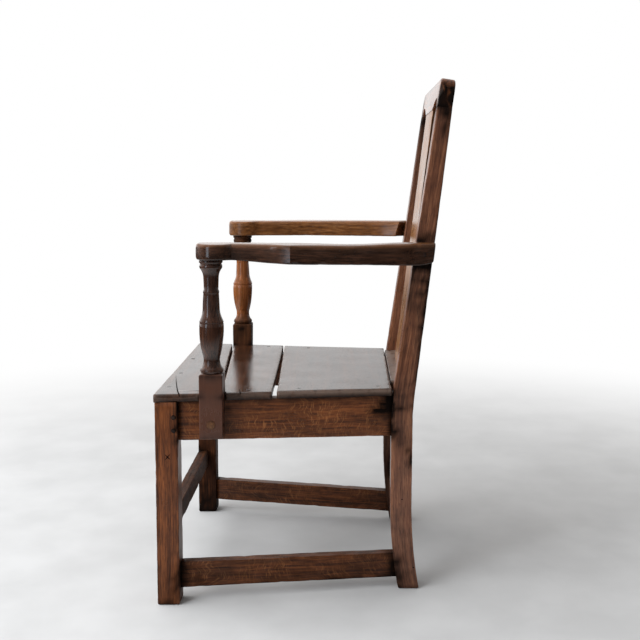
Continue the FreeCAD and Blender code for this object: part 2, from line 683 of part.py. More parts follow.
# The right arm and its support stand a little higher than the left ones
left_support = arm_support("left_support", "0")
right_support = arm_support("right_support", "right_arm_lift")
left_arm, left_peg_start = arm("left_arm", "0", "0", "arm_drop", "0", "0")
right_arm, right_peg_start = arm("right_arm", "right_arm_lift", "right_arm_extra", "(-right_arm_tilt)",
                                 "right_arm_rise", "right_grip_reach")
arm_peg_length = "tongue_thick + arm_peg_cover + post_width / 2 + peg_proud"
left_arm_peg = peg("left_arm_peg", "peg_dia", arm_peg_length, left_peg_start, INWARD, "90 deg")
right_arm_peg = peg("right_arm_peg", "peg_dia", arm_peg_length, right_peg_start, INWARD, "90 deg")

# Seat nails: through the boards into the front rail and the side rails
nail_places = [
    ("front_half - leg_width - nail_edge", "rail_inset + rail_thick / 2"),
    ("(front_half - leg_width) / 3", "rail_inset + rail_thick / 2"),
]
for nail_y in ("(front_gap_at + back_gap_at) / 2 + nail_edge / 2", "back_gap_at + 2 * nail_edge",
               "post_front - nail_edge"):
    nail_x = f"front_half - rail_inset - ({nail_y}) * tan(side_angle) - rail_thick / 2"
    nail_places.append((nail_x, nail_y))
nails = []
nail_bores = []
for number, (nail_x, nail_y) in enumerate(nail_places, start=1):
    shank = bar(f"nail_shank_{number}", "nail_dia", "nail_length",
                (nail_x, nail_y, "seat_height - nail_length"), UP, None)
    head = bar(f"nail_head_{number}", "nail_head_dia", "nail_head_high",
               (nail_x, nail_y, "seat_height - nail_head_high"), UP, None)
    nails.append(joined(f"nail_{number}", [shank, head]))
    bore = bar(f"nail_bore_{number}", "nail_dia + 2 * peg_clearance", "nail_length",
               (nail_x, nail_y, "seat_height - nail_length"), UP, None)
    seat_hole = bar(f"nail_sink_{number}", "nail_head_dia + 2 * peg_clearance", "nail_head_high",
                    (nail_x, nail_y, "seat_height - nail_head_high"), UP, None)
    nail_bores.append(joined(f"nail_hole_{number}", [bore, seat_hole]))
nail_holes = group("nail_holes", nail_bores)
nail_holes_right = mirrored("nail_holes_right", nail_holes)

# Seat: one tapered outline, notched round the arm supports and sawn at two skewed gaps, of which the
# first runs just in front of the right support
seat_outline = plank("seat_outline", "XY_Plane", (
    ("-seat_front_half", "-front_overhang"),
    ("seat_front_half", "-front_overhang"),
    ("seat_back_half", "post_front"),
    ("-seat_back_half", "post_front"),
), "board_thick", offset="rail_top")
notch_left = box(
    "notch_left", ("block_width + 2 * notch_clearance", "block_width + 2 * notch_clearance", "block_top"),
    ("notch_inside", "notch_front", "0"))
notch_right = mirrored("notch_right", notch_left)
seat_notched = cut("seat_notched", seat_outline, [notch_left, notch_right, nail_holes, nail_holes_right])


def seat_zone(name, at, skew, shift, behind):
    """The part of the floor plan in front of a skewed line, or behind it."""
    reach = "2 * front_width"
    start = "0" if behind else f"-({reach})"
    return box(name, (reach, reach, "seat_height"),
               (f"-front_width * cos({skew}) - ({start} + {shift}) * sin({skew})",
                f"{at} - front_width * sin({skew}) + ({start} + {shift}) * cos({skew})", "0"), UP, skew)


front_zone = seat_zone("front_zone", "front_gap_at", "front_gap_skew", "-front_gap_wide / 2", False)
front_saw = seat_zone("front_saw", "front_gap_at", "front_gap_skew", "front_gap_wide / 2", False)
back_zone = seat_zone("back_zone", "back_gap_at", "back_gap_skew", "back_gap_wide / 2", True)
back_saw = seat_zone("back_saw", "back_gap_at", "back_gap_skew", "-back_gap_wide / 2", True)

# Finished pieces
leg_holes = [peg_holes[piece.Name] for piece in side_pegs + front_pegs]
pair(cut("front_leg_left", leg_blank, [
    side_rail_tenon, side_stretcher_tenon, front_rail_tenon, front_stretcher_tenon, *leg_holes]))
post_joints = [side_rail_tenon, side_stretcher_tenon, back_rail_tenon, back_stretcher_tenon,
               *(peg_holes[piece.Name] for piece in back_pegs), peg_holes["crest_peg"]]
mortised_post = cut("mortised_post", tenoned_post, post_joints)
finished(cut("back_post_left", mortised_post, [peg_holes["left_arm_peg"]]))
finished(mirrored("back_post_right", cut("right_post", mortised_post, [peg_holes["right_arm_peg"]])))
pair(cut("side_seat_rail_left", side_rail, [
    *(peg_holes[piece.Name] for piece in side_pegs), peg_holes["support_peg"], nail_holes]))
pair(group("side_stretcher_left", [side_stretcher]))
front_rail_holes = [peg_holes[piece.Name] for piece in front_pegs]
back_rail_holes = [peg_holes[piece.Name] for piece in back_pegs]
finished(cut("front_seat_rail", front_rail, [
    *front_rail_holes, *(mirrored(hole.Name + "_right", hole) for hole in front_rail_holes),
    nail_holes, nail_holes_right]))
finished(cut("back_seat_rail", back_rail, [
    *back_rail_holes, *(mirrored(hole.Name + "_right", hole) for hole in back_rail_holes)]))
finished(group("front_stretcher", [front_stretcher]))
finished(group("back_stretcher", [back_stretcher]))
finished(shared("seat_board_front", seat_notched, front_zone))
finished(cut("seat_board_middle", seat_notched, [front_saw, back_saw]))
finished(shared("seat_board_back", seat_notched, back_zone))
finished(cut("splat_shoe", shoe_blank, [splat]))
finished(group("back_splat", [splat]))
crest_hole_right = mirrored("crest_peg_hole_right", peg_holes["crest_peg"])
finished(cut("crest_rail", crest_blank, [
    splat, post_tenon, mirrored("post_tenon_right", post_tenon), peg_holes["crest_peg"], crest_hole_right]))
finished(cut("arm_support_left", left_support, [lap, peg_holes["support_peg"]]))
finished(mirrored("arm_support_right", cut("lapped_right", right_support, [lap, peg_holes["support_peg"]])))
finished(cut("arm_left", left_arm, [left_support, peg_holes["left_arm_peg"]]))
finished(mirrored("arm_right", cut("bored_right", right_arm, [right_support, peg_holes["right_arm_peg"]])))
finished(group("arm_pegs", [left_arm_peg, mirrored("arm_peg_right", right_arm_peg)]))
for label, pieces in (
    ("side_rail_pegs", side_pegs),
    ("front_rail_pegs", front_pegs),
    ("back_rail_pegs", back_pegs),
    ("arm_support_pegs", [support_peg]),
    ("crest_pegs", [crest_peg]),
    ("seat_nails", nails),
):
    finished(group(label, [*pieces, *(mirrored(piece.Name + "_right", piece) for piece in pieces)]))
doc.recompute()

# Every object has to be sound before anything is written
for thing in doc.Objects:
    if "Invalid" in thing.State or "Error" in thing.State:
        raise RuntimeError(f"{thing.Label} did not rebuild: {thing.State}")
for piece in nodes:
    if piece.Shape.isNull() or not piece.Shape.isValid() or not piece.Shape.Solids:
        raise RuntimeError(f"{piece.Label} has no sound solid")

os.makedirs("parts", exist_ok=True)
for piece in nodes:
    piece.Shape.exportStep(f"parts/{piece.Label}.step")
print(len(nodes), "pieces written")
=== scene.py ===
"""A joined oak armchair: the wood, pegs and nails that dress the fixed frame, and a plain stage."""
import math
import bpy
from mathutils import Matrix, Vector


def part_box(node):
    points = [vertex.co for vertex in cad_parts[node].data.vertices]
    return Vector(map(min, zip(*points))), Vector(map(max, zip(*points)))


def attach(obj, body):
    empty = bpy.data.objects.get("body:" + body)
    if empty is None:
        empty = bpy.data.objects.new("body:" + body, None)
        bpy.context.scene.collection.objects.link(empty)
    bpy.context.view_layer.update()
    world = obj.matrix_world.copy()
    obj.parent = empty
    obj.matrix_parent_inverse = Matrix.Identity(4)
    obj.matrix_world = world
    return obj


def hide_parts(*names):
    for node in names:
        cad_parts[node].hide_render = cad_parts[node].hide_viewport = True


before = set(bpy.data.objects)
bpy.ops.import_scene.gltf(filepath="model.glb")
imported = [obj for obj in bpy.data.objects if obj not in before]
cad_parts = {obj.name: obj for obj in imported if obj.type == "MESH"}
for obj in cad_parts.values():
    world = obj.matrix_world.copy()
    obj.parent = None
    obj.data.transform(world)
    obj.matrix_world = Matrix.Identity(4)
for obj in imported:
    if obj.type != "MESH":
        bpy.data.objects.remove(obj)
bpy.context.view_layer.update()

from types import SimpleNamespace

import bpy
import numpy as np
from mathutils import Matrix, Vector

bl_info = {
    "name": "Joined oak armchair",
    "version": (1, 0, 0),
    "blender": (4, 5, 0),
    "location": "View3D > Sidebar > Armchair",
    "description": "Hand-planed, turned and pegged oak pieces of a joined armchair, and a plain stage",
    "category": "Object",
}

MM = 0.001
# The shapes are drawn in millimetres with y = 0 at the front of the front legs
FRONT_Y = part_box("front_leg_left")[0][1] / MM


def reach_of(node, axis, side=1):
    """Lowest (0) or highest (1) place of a node along an axis, in millimetres of the drawing."""
    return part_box(node)[side][axis] / MM - (FRONT_Y if axis == 1 else 0)


def linear(code):
    """An sRGB hex colour as linear red, green, blue."""
    parts = np.array([int(code[at:at + 2], 16) for at in (1, 3, 5)]) / 255
    return tuple(np.where(parts <= 0.04045, parts / 12.92, ((parts + 0.055) / 1.055) ** 2.4))


# Lengths in millimetres: key, description, default. The label of each length is the key in plain words.
SIZES = (
    ("seat_height", "Floor to the top of the seat", reach_of("seat_board_back", 2)),
    ("rail_top", "Floor to the top of the seat rails", reach_of("front_leg_left", 2)),
    ("front_half", "Middle to the outside of a front leg", reach_of("front_leg_left", 0)),
    ("back_half", "Middle to the outside of a back post", reach_of("back_post_left", 0)),
    ("leg_width", "Side of a square front leg", 42),
    ("leg_arris", "Round of the worn edges of a leg", 1.7),
    ("foot_wear", "Round of the worn foot of a leg or post", 4),
    ("post_front", "Front of the legs to the front of the posts", 440.5),
    ("post_width", "Back post across the chair", 38),
    ("post_depth", "Back post from front to back, below the seat", 41.5),
    ("post_top_depth", "Back post from front to back, under the crest", 28.5),
    ("post_top", "Floor to the front top edge of a post", 939),
    ("post_arris", "Round of the worn edges of a post", 1.8),
    ("foot_sweep", "How far the foot of a post runs out behind", 16.5),
    ("sweep_height", "Height at which that sweep starts", 180),
    ("bend_height", "Height at which the lean of a post starts", 330),
    ("bend_radius", "Front radius of the bend into the lean", 600),
    ("rail_thick", "Thickness of the seat rails", 25),
    ("rail_front_depth", "Height of the seat rails at the front", 73),
    ("rail_back_depth", "Height of the seat rails at the back", 82),
    ("rail_inset", "Seat rails behind the faces of legs and posts", 3),
    ("rail_arris", "Round of the worn edges of rails and stretchers", 1.3),
    ("stretcher_thick", "Thickness of the stretchers", 22),
    ("stretcher_depth", "Height of a side stretcher", 49),
    ("stretcher_inset", "Side stretchers behind the outsides of the legs", 6),
    ("stretcher_front", "Floor to a side stretcher at the front", 30),
    ("stretcher_back", "Floor to a side stretcher at the back", 22),
    ("cross_top", "Floor to the top of the cross stretchers", 152),
    ("cross_depth", "Height of the cross stretchers", 38),
    ("board_thick", "Thickness of the seat boards", 15),
    ("board_arris", "Round of the worn edges of the seat boards", 2.6),
    ("seat_front_half", "Middle to a front corner of the seat", 281),
    ("seat_back_half", "Middle to a back corner of the seat", 219),
    ("front_overhang", "Front board past the front legs", 2),
    ("notch_clearance", "Seat boards round the arm supports", 0.8),
    ("board_end", "Round of the worn ends of the seat boards", 5),
    ("seat_hollow", "Wear in the middle of the seat", 1.4),
    ("front_gap", "First gap between boards, at the middle", 100.8),
    ("front_gap_wide", "Width of the first gap", 4),
    ("back_gap", "Second gap between boards, at the middle", 211),
    ("back_gap_wide", "Width of the second gap", 6.5),
    ("back_gap_flare", "How much wider that gap is at its left end than at its right", 4),
    ("arm_top", "Floor to the top of the left arm", reach_of("arm_left", 2)),
    ("right_lift", "Underside of the right arm above the left one", 11.5),
    ("right_extra", "Extra thickness of the right arm all along", 3.5),
    ("right_tilt", "Underside of the right arm at the back, above its front", 5),
    ("right_rise", "Top of the right arm at the back, above its front", 6),
    ("right_reach", "Right hand grip in front of the left one", 4),
    ("arm_thick", "Thickness of an arm at the front", 31),
    ("arm_drop", "Extra thickness of the left arm at the back", 13),
    ("arm_sag", "Dip of the worn top of the left arm behind the elbow", 3),
    ("arm_arris", "Round of the worn upper edges of an arm", 8),
    ("arm_nose", "Round of the tip of an arm, seen from the side", 7),
    ("arm_crown", "How much the top of an arm falls towards its edges", 1.5),
    ("arm_rear_rise", "Underside of an arm curving up over the post", 7),
    ("arm_overlap", "Inner edge of an arm inside the outsides of the posts", 14),
    ("arm_shoulder", "Slanted facet of an arm in front of the post", 20),
    ("tongue_thick", "Tongue of an arm that laps the outside of the post", 21),
    ("elbow_hollow", "Radius of the hollow between the grip and the elbow", 320),
    ("rear_hollow", "Radius of the hollow between the elbow and the post", 1500),
    ("inner_bow", "Radius of the bow of an arm's inner edge", 1060),
    ("arm_x", "Middle to the centre of an arm support", 267),
    ("support_at", "Front of the legs to the centre of a support", 105),
    ("grip_radius", "Radius of the round hand grip", 38),
    ("grip_at", "Front of the legs to the centre of the grip", 116),
    ("arm_neck", "Width of an arm behind the grip", 49),
    ("elbow_x", "Middle to the elbow of an arm", reach_of("arm_left", 0)),
    ("elbow_at", "Front of the legs to the elbow", 252),
    ("block_width", "Square block of a support", 43),
    ("block_top", "Floor to the top of the left block", 444),
    ("block_low", "Floor to the bottom of the blocks", 324),
    ("splat_width", "Back splat across the chair", 165),
    ("splat_thick", "Back splat from front to back", 12),
    ("splat_set_back", "Foot of the splat further behind the posts than its top", 12),
    ("shoe_depth", "Shoe of the splat from front to back", 39),
    ("shoe_top", "Floor to the top of the shoe", reach_of("splat_shoe", 2)),
    ("crest_height", "Crest rail along the lean", 54),
    ("crest_thick", "Crest rail from front to back", 28),
    ("crest_corner", "Round of the upper corners of the crest", 25),
    ("crest_arch", "Rise of the two arches under the crest", 18),
    ("arch_end", "Small round of an arch beside a post", 11),
    ("crest_arris", "Round of the worn edges of the crest", 4),
    ("peg_dia", "Diameter of the pegs", 9),
    ("plug_dia", "Diameter of the large pegs of the supports", 17),
    ("peg_edge", "Pegs from the shoulders of their joints", 7),
    ("peg_spacing", "Between the two pegs of a rail", 25),
    ("peg_drop", "Pegs of the front joints below the middle of the rails", 4),
    ("plug_drop", "Large peg below the top of the rail", 40),
    ("arm_peg_out", "End of an arm's peg outside the post", 29.2),
    ("crest_peg_up", "Peg of the crest above its lower edge", 13),
    ("nail_dia", "Diameter of the nail heads", 8),
    ("nail_edge", "Outer nails from the ends of a board", 26),
)

# Colours: key, description, sRGB hex
COLOURS = (
    ("oak_dark", "Dark growth rings of the frame", "#3f200f"),
    ("oak_mid", "Body of the frame's oak", "#6a391c"),
    ("oak_light", "Light growth rings of the frame", "#8a4f29"),
    ("ray", "Pale flecks of quartered oak", "#a86c3e"),
    # The three post colours are a little greyer than the frame's: their own tone, and partly painted sheen.
    ("post_dark", "Dark growth rings of the back posts", "#583322"),
    ("post_mid", "Body of the posts' oak", "#774932"),
    ("post_light", "Light growth rings of the posts", "#946245"),
    ("splat_dark", "Dark growth rings of the splat", "#553219"),
    ("splat_mid", "Body of the splat's oak", "#83552f"),
    ("splat_light", "Light growth rings of the splat", "#a3713f"),
    ("seat_dark", "Dark rings of the seat", "#22130c"),
    ("seat_mid", "Body of the seat's oak", "#382115"),
    ("seat_light", "Light rings of the seat", "#4f2f1d"),
    ("arm_dark", "Dark rings of the handled arm", "#281913"),
    ("arm_mid", "Body of the handled arm", "#3c281e"),
    ("arm_light", "Light rings of the handled arm", "#513528"),
    ("warm_dark", "Dark rings of the cleaner right arm", "#553217"),
    ("warm_mid", "Body of the cleaner right arm", "#734724"),
    ("warm_light", "Light rings of the cleaner right arm", "#8f6039"),
    ("turned_block", "Square block of the left support", "#563120"),
    ("turned_mid", "Body of the blackened left support", "#3a251c"),
    ("turned_light", "Light rings of the blackened left support", "#523527"),
    ("orange_mid", "Body of the cleaner right support", "#7d4726"),
    ("orange_light", "Light rings of the cleaner right support", "#9c6036"),
    # The next colour is worn wood, and also painted sheen on the top of the shoe and of the board ends.
    ("seat_edge", "Worn ends and edges of the seat boards", "#7a665a"),
    # The next colour is also painted as a highlight on the slanted facet of the right arm.
    ("worn", "Wood rubbed at the edges", "#8f5c38"),
    # The next colour is old wax and dirt, and also the colour of the painted shade.
    ("soot", "Old wax and dirt in the joints", "#120b08"),
    ("peg_end", "End grain of the small pegs", "#24150d"),
    ("iron", "Forged nail heads", "#221b18"),
    ("floor", "Pale plain floor", "#c3c2c1"),
)


def label_of(key):
    """The words of a key, as a label."""
    return key.replace("_", " ").capitalize()


class ChairSizes(bpy.types.PropertyGroup):
    """Lengths of the chair"""
    __annotations__ = {
        key: bpy.props.FloatProperty(name=label_of(key), description=note, default=value * MM,
                                     unit="LENGTH", subtype="DISTANCE")
        for key, note, value in SIZES}


class ChairColours(bpy.types.PropertyGroup):
    """Colours of the chair and of the floor"""
    __annotations__ = {
        key: bpy.props.FloatVectorProperty(name=label_of(key), description=note, default=linear(code),
                                           size=3, min=0, max=1, subtype="COLOR")
        for key, note, code in COLOURS}


def millimetres(context):
    """The sizes of the scene, in millimetres."""
    group = context.scene.chair_sizes
    return SimpleNamespace(**{key: getattr(group, key) / MM for key, *rest in SIZES})


def colours(context):
    """The colours of the scene, with full alpha."""
    group = context.scene.chair_colours
    return SimpleNamespace(**{key: (*getattr(group, key), 1) for key, *rest in COLOURS})


# Shapes. Every solid is a sheet of rings: n sections along a path, each of m points round it.

# Angles: lean of the back, splay of the sides, and the turns of the two gaps in the seat
LEAN = math.radians(8)
SPLAY = math.atan2(70, 440.5)
FIRST_GAP_TURN = math.tan(math.radians(4))
SECOND_GAP_TURN = math.tan(math.radians(1.7))
# Wave lengths of hand work in millimetres: bows and flats of a planed face, dents of an arris
BOW, FLAT, DENT = 260, 90, 24
# Each board takes its own part of the patterns: millimetres along and across the grain for each seed
GRAIN_STEP = np.array((731, 57, 23))


def arc(start, end, radius, bulge, steps=16):
    """Points from start to end on an arc of one radius that stands out to the left (1) or to the right
    (-1) of the chord: centre = middle - bulge * left normal * sqrt(radius^2 - half chord^2), and the
    angle runs evenly from one end to the other."""
    start, end = np.array(start, float), np.array(end, float)
    chord = end - start
    half = np.hypot(*chord) / 2
    normal = np.array([-chord[1], chord[0]]) / (2 * half)
    centre = (start + end) / 2 - bulge * normal * math.sqrt(max(radius * radius - half * half, 0))
    first, last = (math.atan2(*(point - centre)[::-1]) for point in (start, end))
    turn = (last - first + math.pi) % (2 * math.pi) - math.pi
    angle = first + turn * np.linspace(0, 1, steps + 1)
    return centre + radius * np.stack([np.cos(angle), np.sin(angle)], 1)


def line(start, end, steps=1):
    """Evenly spaced points on a straight line."""
    share = np.linspace(0, 1, steps + 1)[:, None]
    return np.array(start, float) * (1 - share) + np.array(end, float) * share


def chain(*runs):
    """Runs of points one after the other, with the points they share kept once."""
    return np.concatenate([runs[0], *(run[1:] for run in runs[1:])])


def ripple(points, length, seed, waves=9):
    """Unevenness of hand work, about -1 to 1: a sum of sine waves in seeded directions, each with a
    wave length near the given one."""
    rng = np.random.default_rng(seed)
    turns = rng.normal(size=(waves, 3))
    turns *= 2 * math.pi / length * rng.uniform(0.6, 1.6, (waves, 1)) / np.linalg.norm(
        turns, axis=1, keepdims=True)
    return np.sin(points @ turns.T + rng.uniform(0, 2 * math.pi, waves)).sum(-1) / math.sqrt(waves)


def section(half_a, half_b, arris, cuts=(0.03, 0.2, 0.4, 0.6, 0.8, 0.97), corner=4):
    """Rounded rectangles for n stations at once: a quarter circle of its own radius in each corner,
    counted round from (+a, +b), and straight sides cut at set shares of their length. Gives the offsets
    (n, m, 2), their outward directions (m, 2) and the nearness to an arris, exp(-distance / 3 mm)."""
    half = np.stack(np.broadcast_arrays(np.atleast_1d(half_a), np.atleast_1d(half_b)), -1).astype(float)
    radius = np.minimum(np.broadcast_to(np.asarray(arris, float), (len(half), 4)),
                        half.min(1)[:, None] * 0.98)
    angle = np.linspace(0, math.pi / 2, corner + 1) + np.arange(4)[:, None] * math.pi / 2
    rays = np.stack([np.cos(angle), np.sin(angle)], -1)
    centres = np.array(((1, 1), (-1, 1), (-1, -1), (1, -1))) * (half[:, None] - radius[..., None])
    arcs = centres[:, :, None] + radius[:, :, None, None] * rays
    start, end = arcs[:, :, -1], np.roll(arcs[:, :, 0], -1, axis=1)
    share = np.array(cuts)[:, None]
    sides = start[:, :, None] * (1 - share) + end[:, :, None] * share
    apart = np.minimum(share, 1 - share)[:, 0] * np.linalg.norm(end - start, axis=2)[..., None]
    near = np.concatenate([np.ones(arcs.shape[:3]), np.exp(-apart / 3)], 2)
    flat = np.broadcast_to(rays[:, -1:], (4, len(cuts), 2))
    return (np.concatenate([arcs, sides], 2).reshape(len(half), -1, 2),
            np.concatenate([rays, flat], 1).reshape(-1, 2), near.reshape(len(half), -1))


def stations(length, spacing, ease_start=0, ease_end=0):
    """Places along a length, close together where an end is rounded, and how far each section draws
    in there: inset = ease - sqrt(ease^2 - (ease - distance to the end)^2)."""
    places = np.linspace(ease_start, length - ease_end, max(int(round(length / spacing)), 2) + 1)
    inset = np.zeros_like(places)
    swing = np.linspace(0, math.pi / 2, 6)[:-1]
    if ease_start:
        places = np.concatenate([ease_start * (1 - np.cos(swing)), places])
        inset = np.concatenate([ease_start * (1 - np.sin(swing)), inset])
    if ease_end:
        places = np.concatenate([places, length - ease_end * (1 - np.cos(swing[::-1]))])
        inset = np.concatenate([inset, ease_end * (1 - np.sin(swing[::-1]))])
    return places, inset


# Where pieces meet and dirt gathers, on both sides of the chair, with dirt and painted shade in the
# crease of each arm and painted shadow under the edge of the seat: two ends of a line, how far the dirt
# reaches from it, and how strong it is; lengths in millimetres
JOINTS_AND_SHADOW = (
    ((278, 42, 317), (278, 42, 390), 3, 1), ((270, 42, 320), (270, 42, 390), 5, 1),
    ((207, 440, 310), (207, 440, 420), 7, 1), ((236, 3, 317), (236, 3, 390), 5, 1),
    ((266, 42, 32), (266, 42, 78), 6, 1), ((200, 450, 24), (200, 446, 70), 7, 1),
    ((236, 2, 116), (236, 2, 150), 7, 1), ((170, 459, 116), (170, 459, 150), 7, 1),
    ((256, 127, 326), (256, 127, 390), 5, 0.8), ((288.5, 83.5, 400), (288.5, 126.5, 400), 3, 0.5),
    ((245.5, 83.5, 406), (288.5, 83.5, 406), 5, 0.8), ((245.5, 126.5, 406), (288.5, 126.5, 406), 5, 0.8),
    ((267, 83, 444), (267, 127, 444), 5, 0.8), ((245, 105, 444), (289, 105, 444), 5, 0.8),
    ((208, 479, 640), (208, 520, 650), 12, 1), ((208, 490, 686), (208, 515, 690), 12, 1),
    ((208, 522, 945), (208, 549, 941), 12, 1.2), ((208, 522, 958), (208, 550, 954), 12, 1),
    ((206, 526, 976), (206, 552, 972), 14, 0.6),
    ((170, 520, 939), (208, 520, 939), 5, 1), ((190, 445, 405), (206, 445, 400), 7, 0.6),
    ((208, 450, 370), (208, 470, 410), 7, 0.35), ((267, 83, 654), (267, 127, 654), 5, 1),
    # First on the next line: the crease behind the grip of each arm, dirt and painted shade.
    ((291, 137, 654), (291, 152, 656), 9, 0.9), ((170, 440, 405), (-170, 440, 405), 6, 0.7),
    # Painted shadow under the edge of the seat, along the top of each side rail.
    ((264.5, 45, 390), (204, 440, 390), 5, 0.75),
)
# Stains of the left side alone, in the same way
STAINS = (
    ((208, 444, 322), (208, 460, 299), 7, 1), ((208, 476, 280), (208, 480, 257), 6, 0.9),
    ((208, 483, 372), (208, 489, 420), 6, 0.6), ((208, 489, 420), (208, 497, 520), 6, 0.8),
    ((208, 497, 520), (208, 514, 640), 6, 0.8), ((208, 453, 364), (208, 482, 364), 5, 0.6),
    ((208, 457, 60), (208, 462, 2), 6, 0.7), ((208, 490, 560), (208, 496, 640), 17, 0.5),
    ((208, 531, 880), (208, 542, 932), 6, 0.7), ((208, 470, 560), (208, 500, 800), 3, 0.4),
    ((278, 40, 60), (278, 34, 32), 7, 0.7), ((278, 0, 10), (278, 0, 385), 2, 0.6),
    ((278, 4, 2), (278, 38, 2), 5, 0.6), ((278, 35, 362), (278, 35, 336), 4, 0.5),
    ((288.5, 86, 328), (288.5, 124, 328), 5, 0.5), ((288.5, 84, 440), (288.5, 126, 440), 5, 0.5),
    ((211, 402, 360), (205, 440, 358), 6, 1),
    ((209, 420, 373), (205, 440, 372), 5, 0.9), ((270, 45, 56), (262, 76, 48), 10, 0.5),
    ((252, 100, 24), (200, 440, 22), 3, 0.5),
)


def gathered(points, lines):
    """Sum over the lines of strength * exp(-distance / reach)."""
    start, end = (np.array([row[at] for row in lines], float) for at in (0, 1))
    reach, strength = (np.array([row[at] for row in lines], float) for at in (2, 3))
    way = end - start
    offset = points[..., None, :] - start
    share = np.clip((offset * way).sum(-1) / (way * way).sum(-1), 0, 1)
    apart = np.linalg.norm(offset - share[..., None] * way, axis=-1)
    return (strength * np.exp(-apart / reach)).sum(-1)


def grime_and_shade(points):
    """Dirt of joints, stains and feet, 0.4 exp(-height / 90 mm), and the painted shade among the joint
    lines, at most 1, broken up by a ripple of 17 mm."""
    mirrored = points * np.where(points[..., :1] < 0, (-1, 1, 1), 1)
    total = gathered(mirrored, JOINTS_AND_SHADOW) + gathered(points, STAINS) + 0.4 * np.exp(-points[..., 2] / 90)
    return np.clip(total * (1 + 0.4 * ripple(points, 17, 5)), 0, 1)


def shell(rings, grain, worn, soil=0, joints=True):
    """A closed sheet of rings with what its finish follows: the place along and across the grain in
    metres, how far an edge is worn, and the dirt and painted shade, with or without that of the joints."""
    return SimpleNamespace(rings=rings, grain=grain * MM, worn=worn,
                           soil=np.clip(joints * grime_and_shade(rings) + soil, 0, 1))


def timber(centre, half_a, half_b, arris, inset=0, seed=1, uneven=0.25, chips=0.5, cuts=None, soil=0,
           joints=True):
    """A squared timber: rounded rectangles carried along a path, centre + a * x + b * y, with the faces
    moved by two long ripples and the arrises dented inwards by the square of a short one. The darkening
    passed in lies all over it: dirt, and painted shade on pieces that stand in shadow."""
    centre, half_a, half_b = (np.array(v, float) for v in np.broadcast_arrays(centre, half_a, half_b))
    long_a, long_b = (np.linalg.norm(v, axis=1) for v in (half_a, half_b))
    frame_of = np.stack([half_a / long_a[:, None], half_b / long_b[:, None]], 1)
    offset, outward, near = section(long_a - inset, long_b - inset, arris, *((cuts,) if cuts else ()))
    rings = centre[:, None] + offset @ frame_of
    along = np.concatenate([[0], np.cumsum(np.linalg.norm(np.diff(centre, axis=0), axis=1))])
    grain = np.stack(np.broadcast_arrays(along[:, None], offset[..., 0], offset[..., 1]), -1)
    grain = grain + seed * GRAIN_STEP
    wave = 0.6 * ripple(rings, BOW, seed) + 0.4 * ripple(rings, FLAT, seed + 50)
    dent = np.clip(ripple(rings, DENT, seed + 90), 0, None) ** 2 * near ** 3
    moved = uneven * (wave - 0.8) - chips * dent
    return shell(rings + (outward @ frame_of) * moved[..., None], grain, near, soil, joints)


def mirror(piece, soil=0):
    """The same shell on the other side of the chair, with the grain of another board and its own dirt and
    painted shade.
    """
    rings = piece.rings * (-1, 1, 1)
    return SimpleNamespace(rings=rings, grain=piece.grain + (3.1, 0.4, 0.7), worn=piece.worn,
                           soil=np.clip(grime_and_shade(rings) + soil, 0, 1))


def scratch(path, normal, width, split=False):
    """A scratch, split or hole drawn flat and dark: the dirt in it, and the painted shade of its depth. A
    flat ellipse carried along a path on the surface, its width times sin(pi t)^0.6 at the share t of the
    way, or (1 - t)^0.6 for a split that opens at its start."""
    path, normal = np.array(path, float), np.array(normal, float)
    run = np.concatenate([[0], np.cumsum(np.linalg.norm(np.diff(path, axis=0), axis=1))])
    t = np.linspace(0, 1, 14)
    spine = np.stack([np.interp(t * run[-1], run, path[:, axis]) for axis in range(3)], 1)
    side = np.cross(normal, np.gradient(spine, axis=0))
    side /= np.linalg.norm(side, axis=1, keepdims=True)
    half = width / 2 * (np.clip(1 - t, 0.01, 1) if split else np.clip(np.sin(math.pi * t), 0.03, 1)) ** 0.6
    half *= 1 + 0.15 * ripple(spine, 9, 3)
    angle = np.linspace(0, 2 * math.pi, 8, endpoint=False)[:, None]
    rings = (spine[:, None] + side[:, None] * half[:, None, None] * np.cos(angle)
             + 0.35 * normal * np.sin(angle))
    flat = 0 * rings[..., 0]
    return shell(rings, rings, flat, flat + 1)


def sheet_faces(rows, columns):
    """Faces of a sheet of rings with a pole at each end: quads between neighbours round and along, and
    a fan of triangles to each pole. Gives the quads and the triangles."""
    row, column = np.meshgrid(np.arange(rows - 1), np.arange(columns), indexing="ij")
    after = (column + 1) % columns
    quads = np.stack([row * columns + column, row * columns + after,
                      (row + 1) * columns + after, (row + 1) * columns + column], -1).reshape(-1, 4)
    ring = np.arange(columns)
    turned = (ring + 1) % columns
    low = np.stack([np.full(columns, rows * columns), turned, ring], 1)
    high = np.stack([np.full(columns, rows * columns + 1), ring + (rows - 1) * columns,
                     turned + (rows - 1) * columns], 1)
    return quads, np.concatenate([low, high])


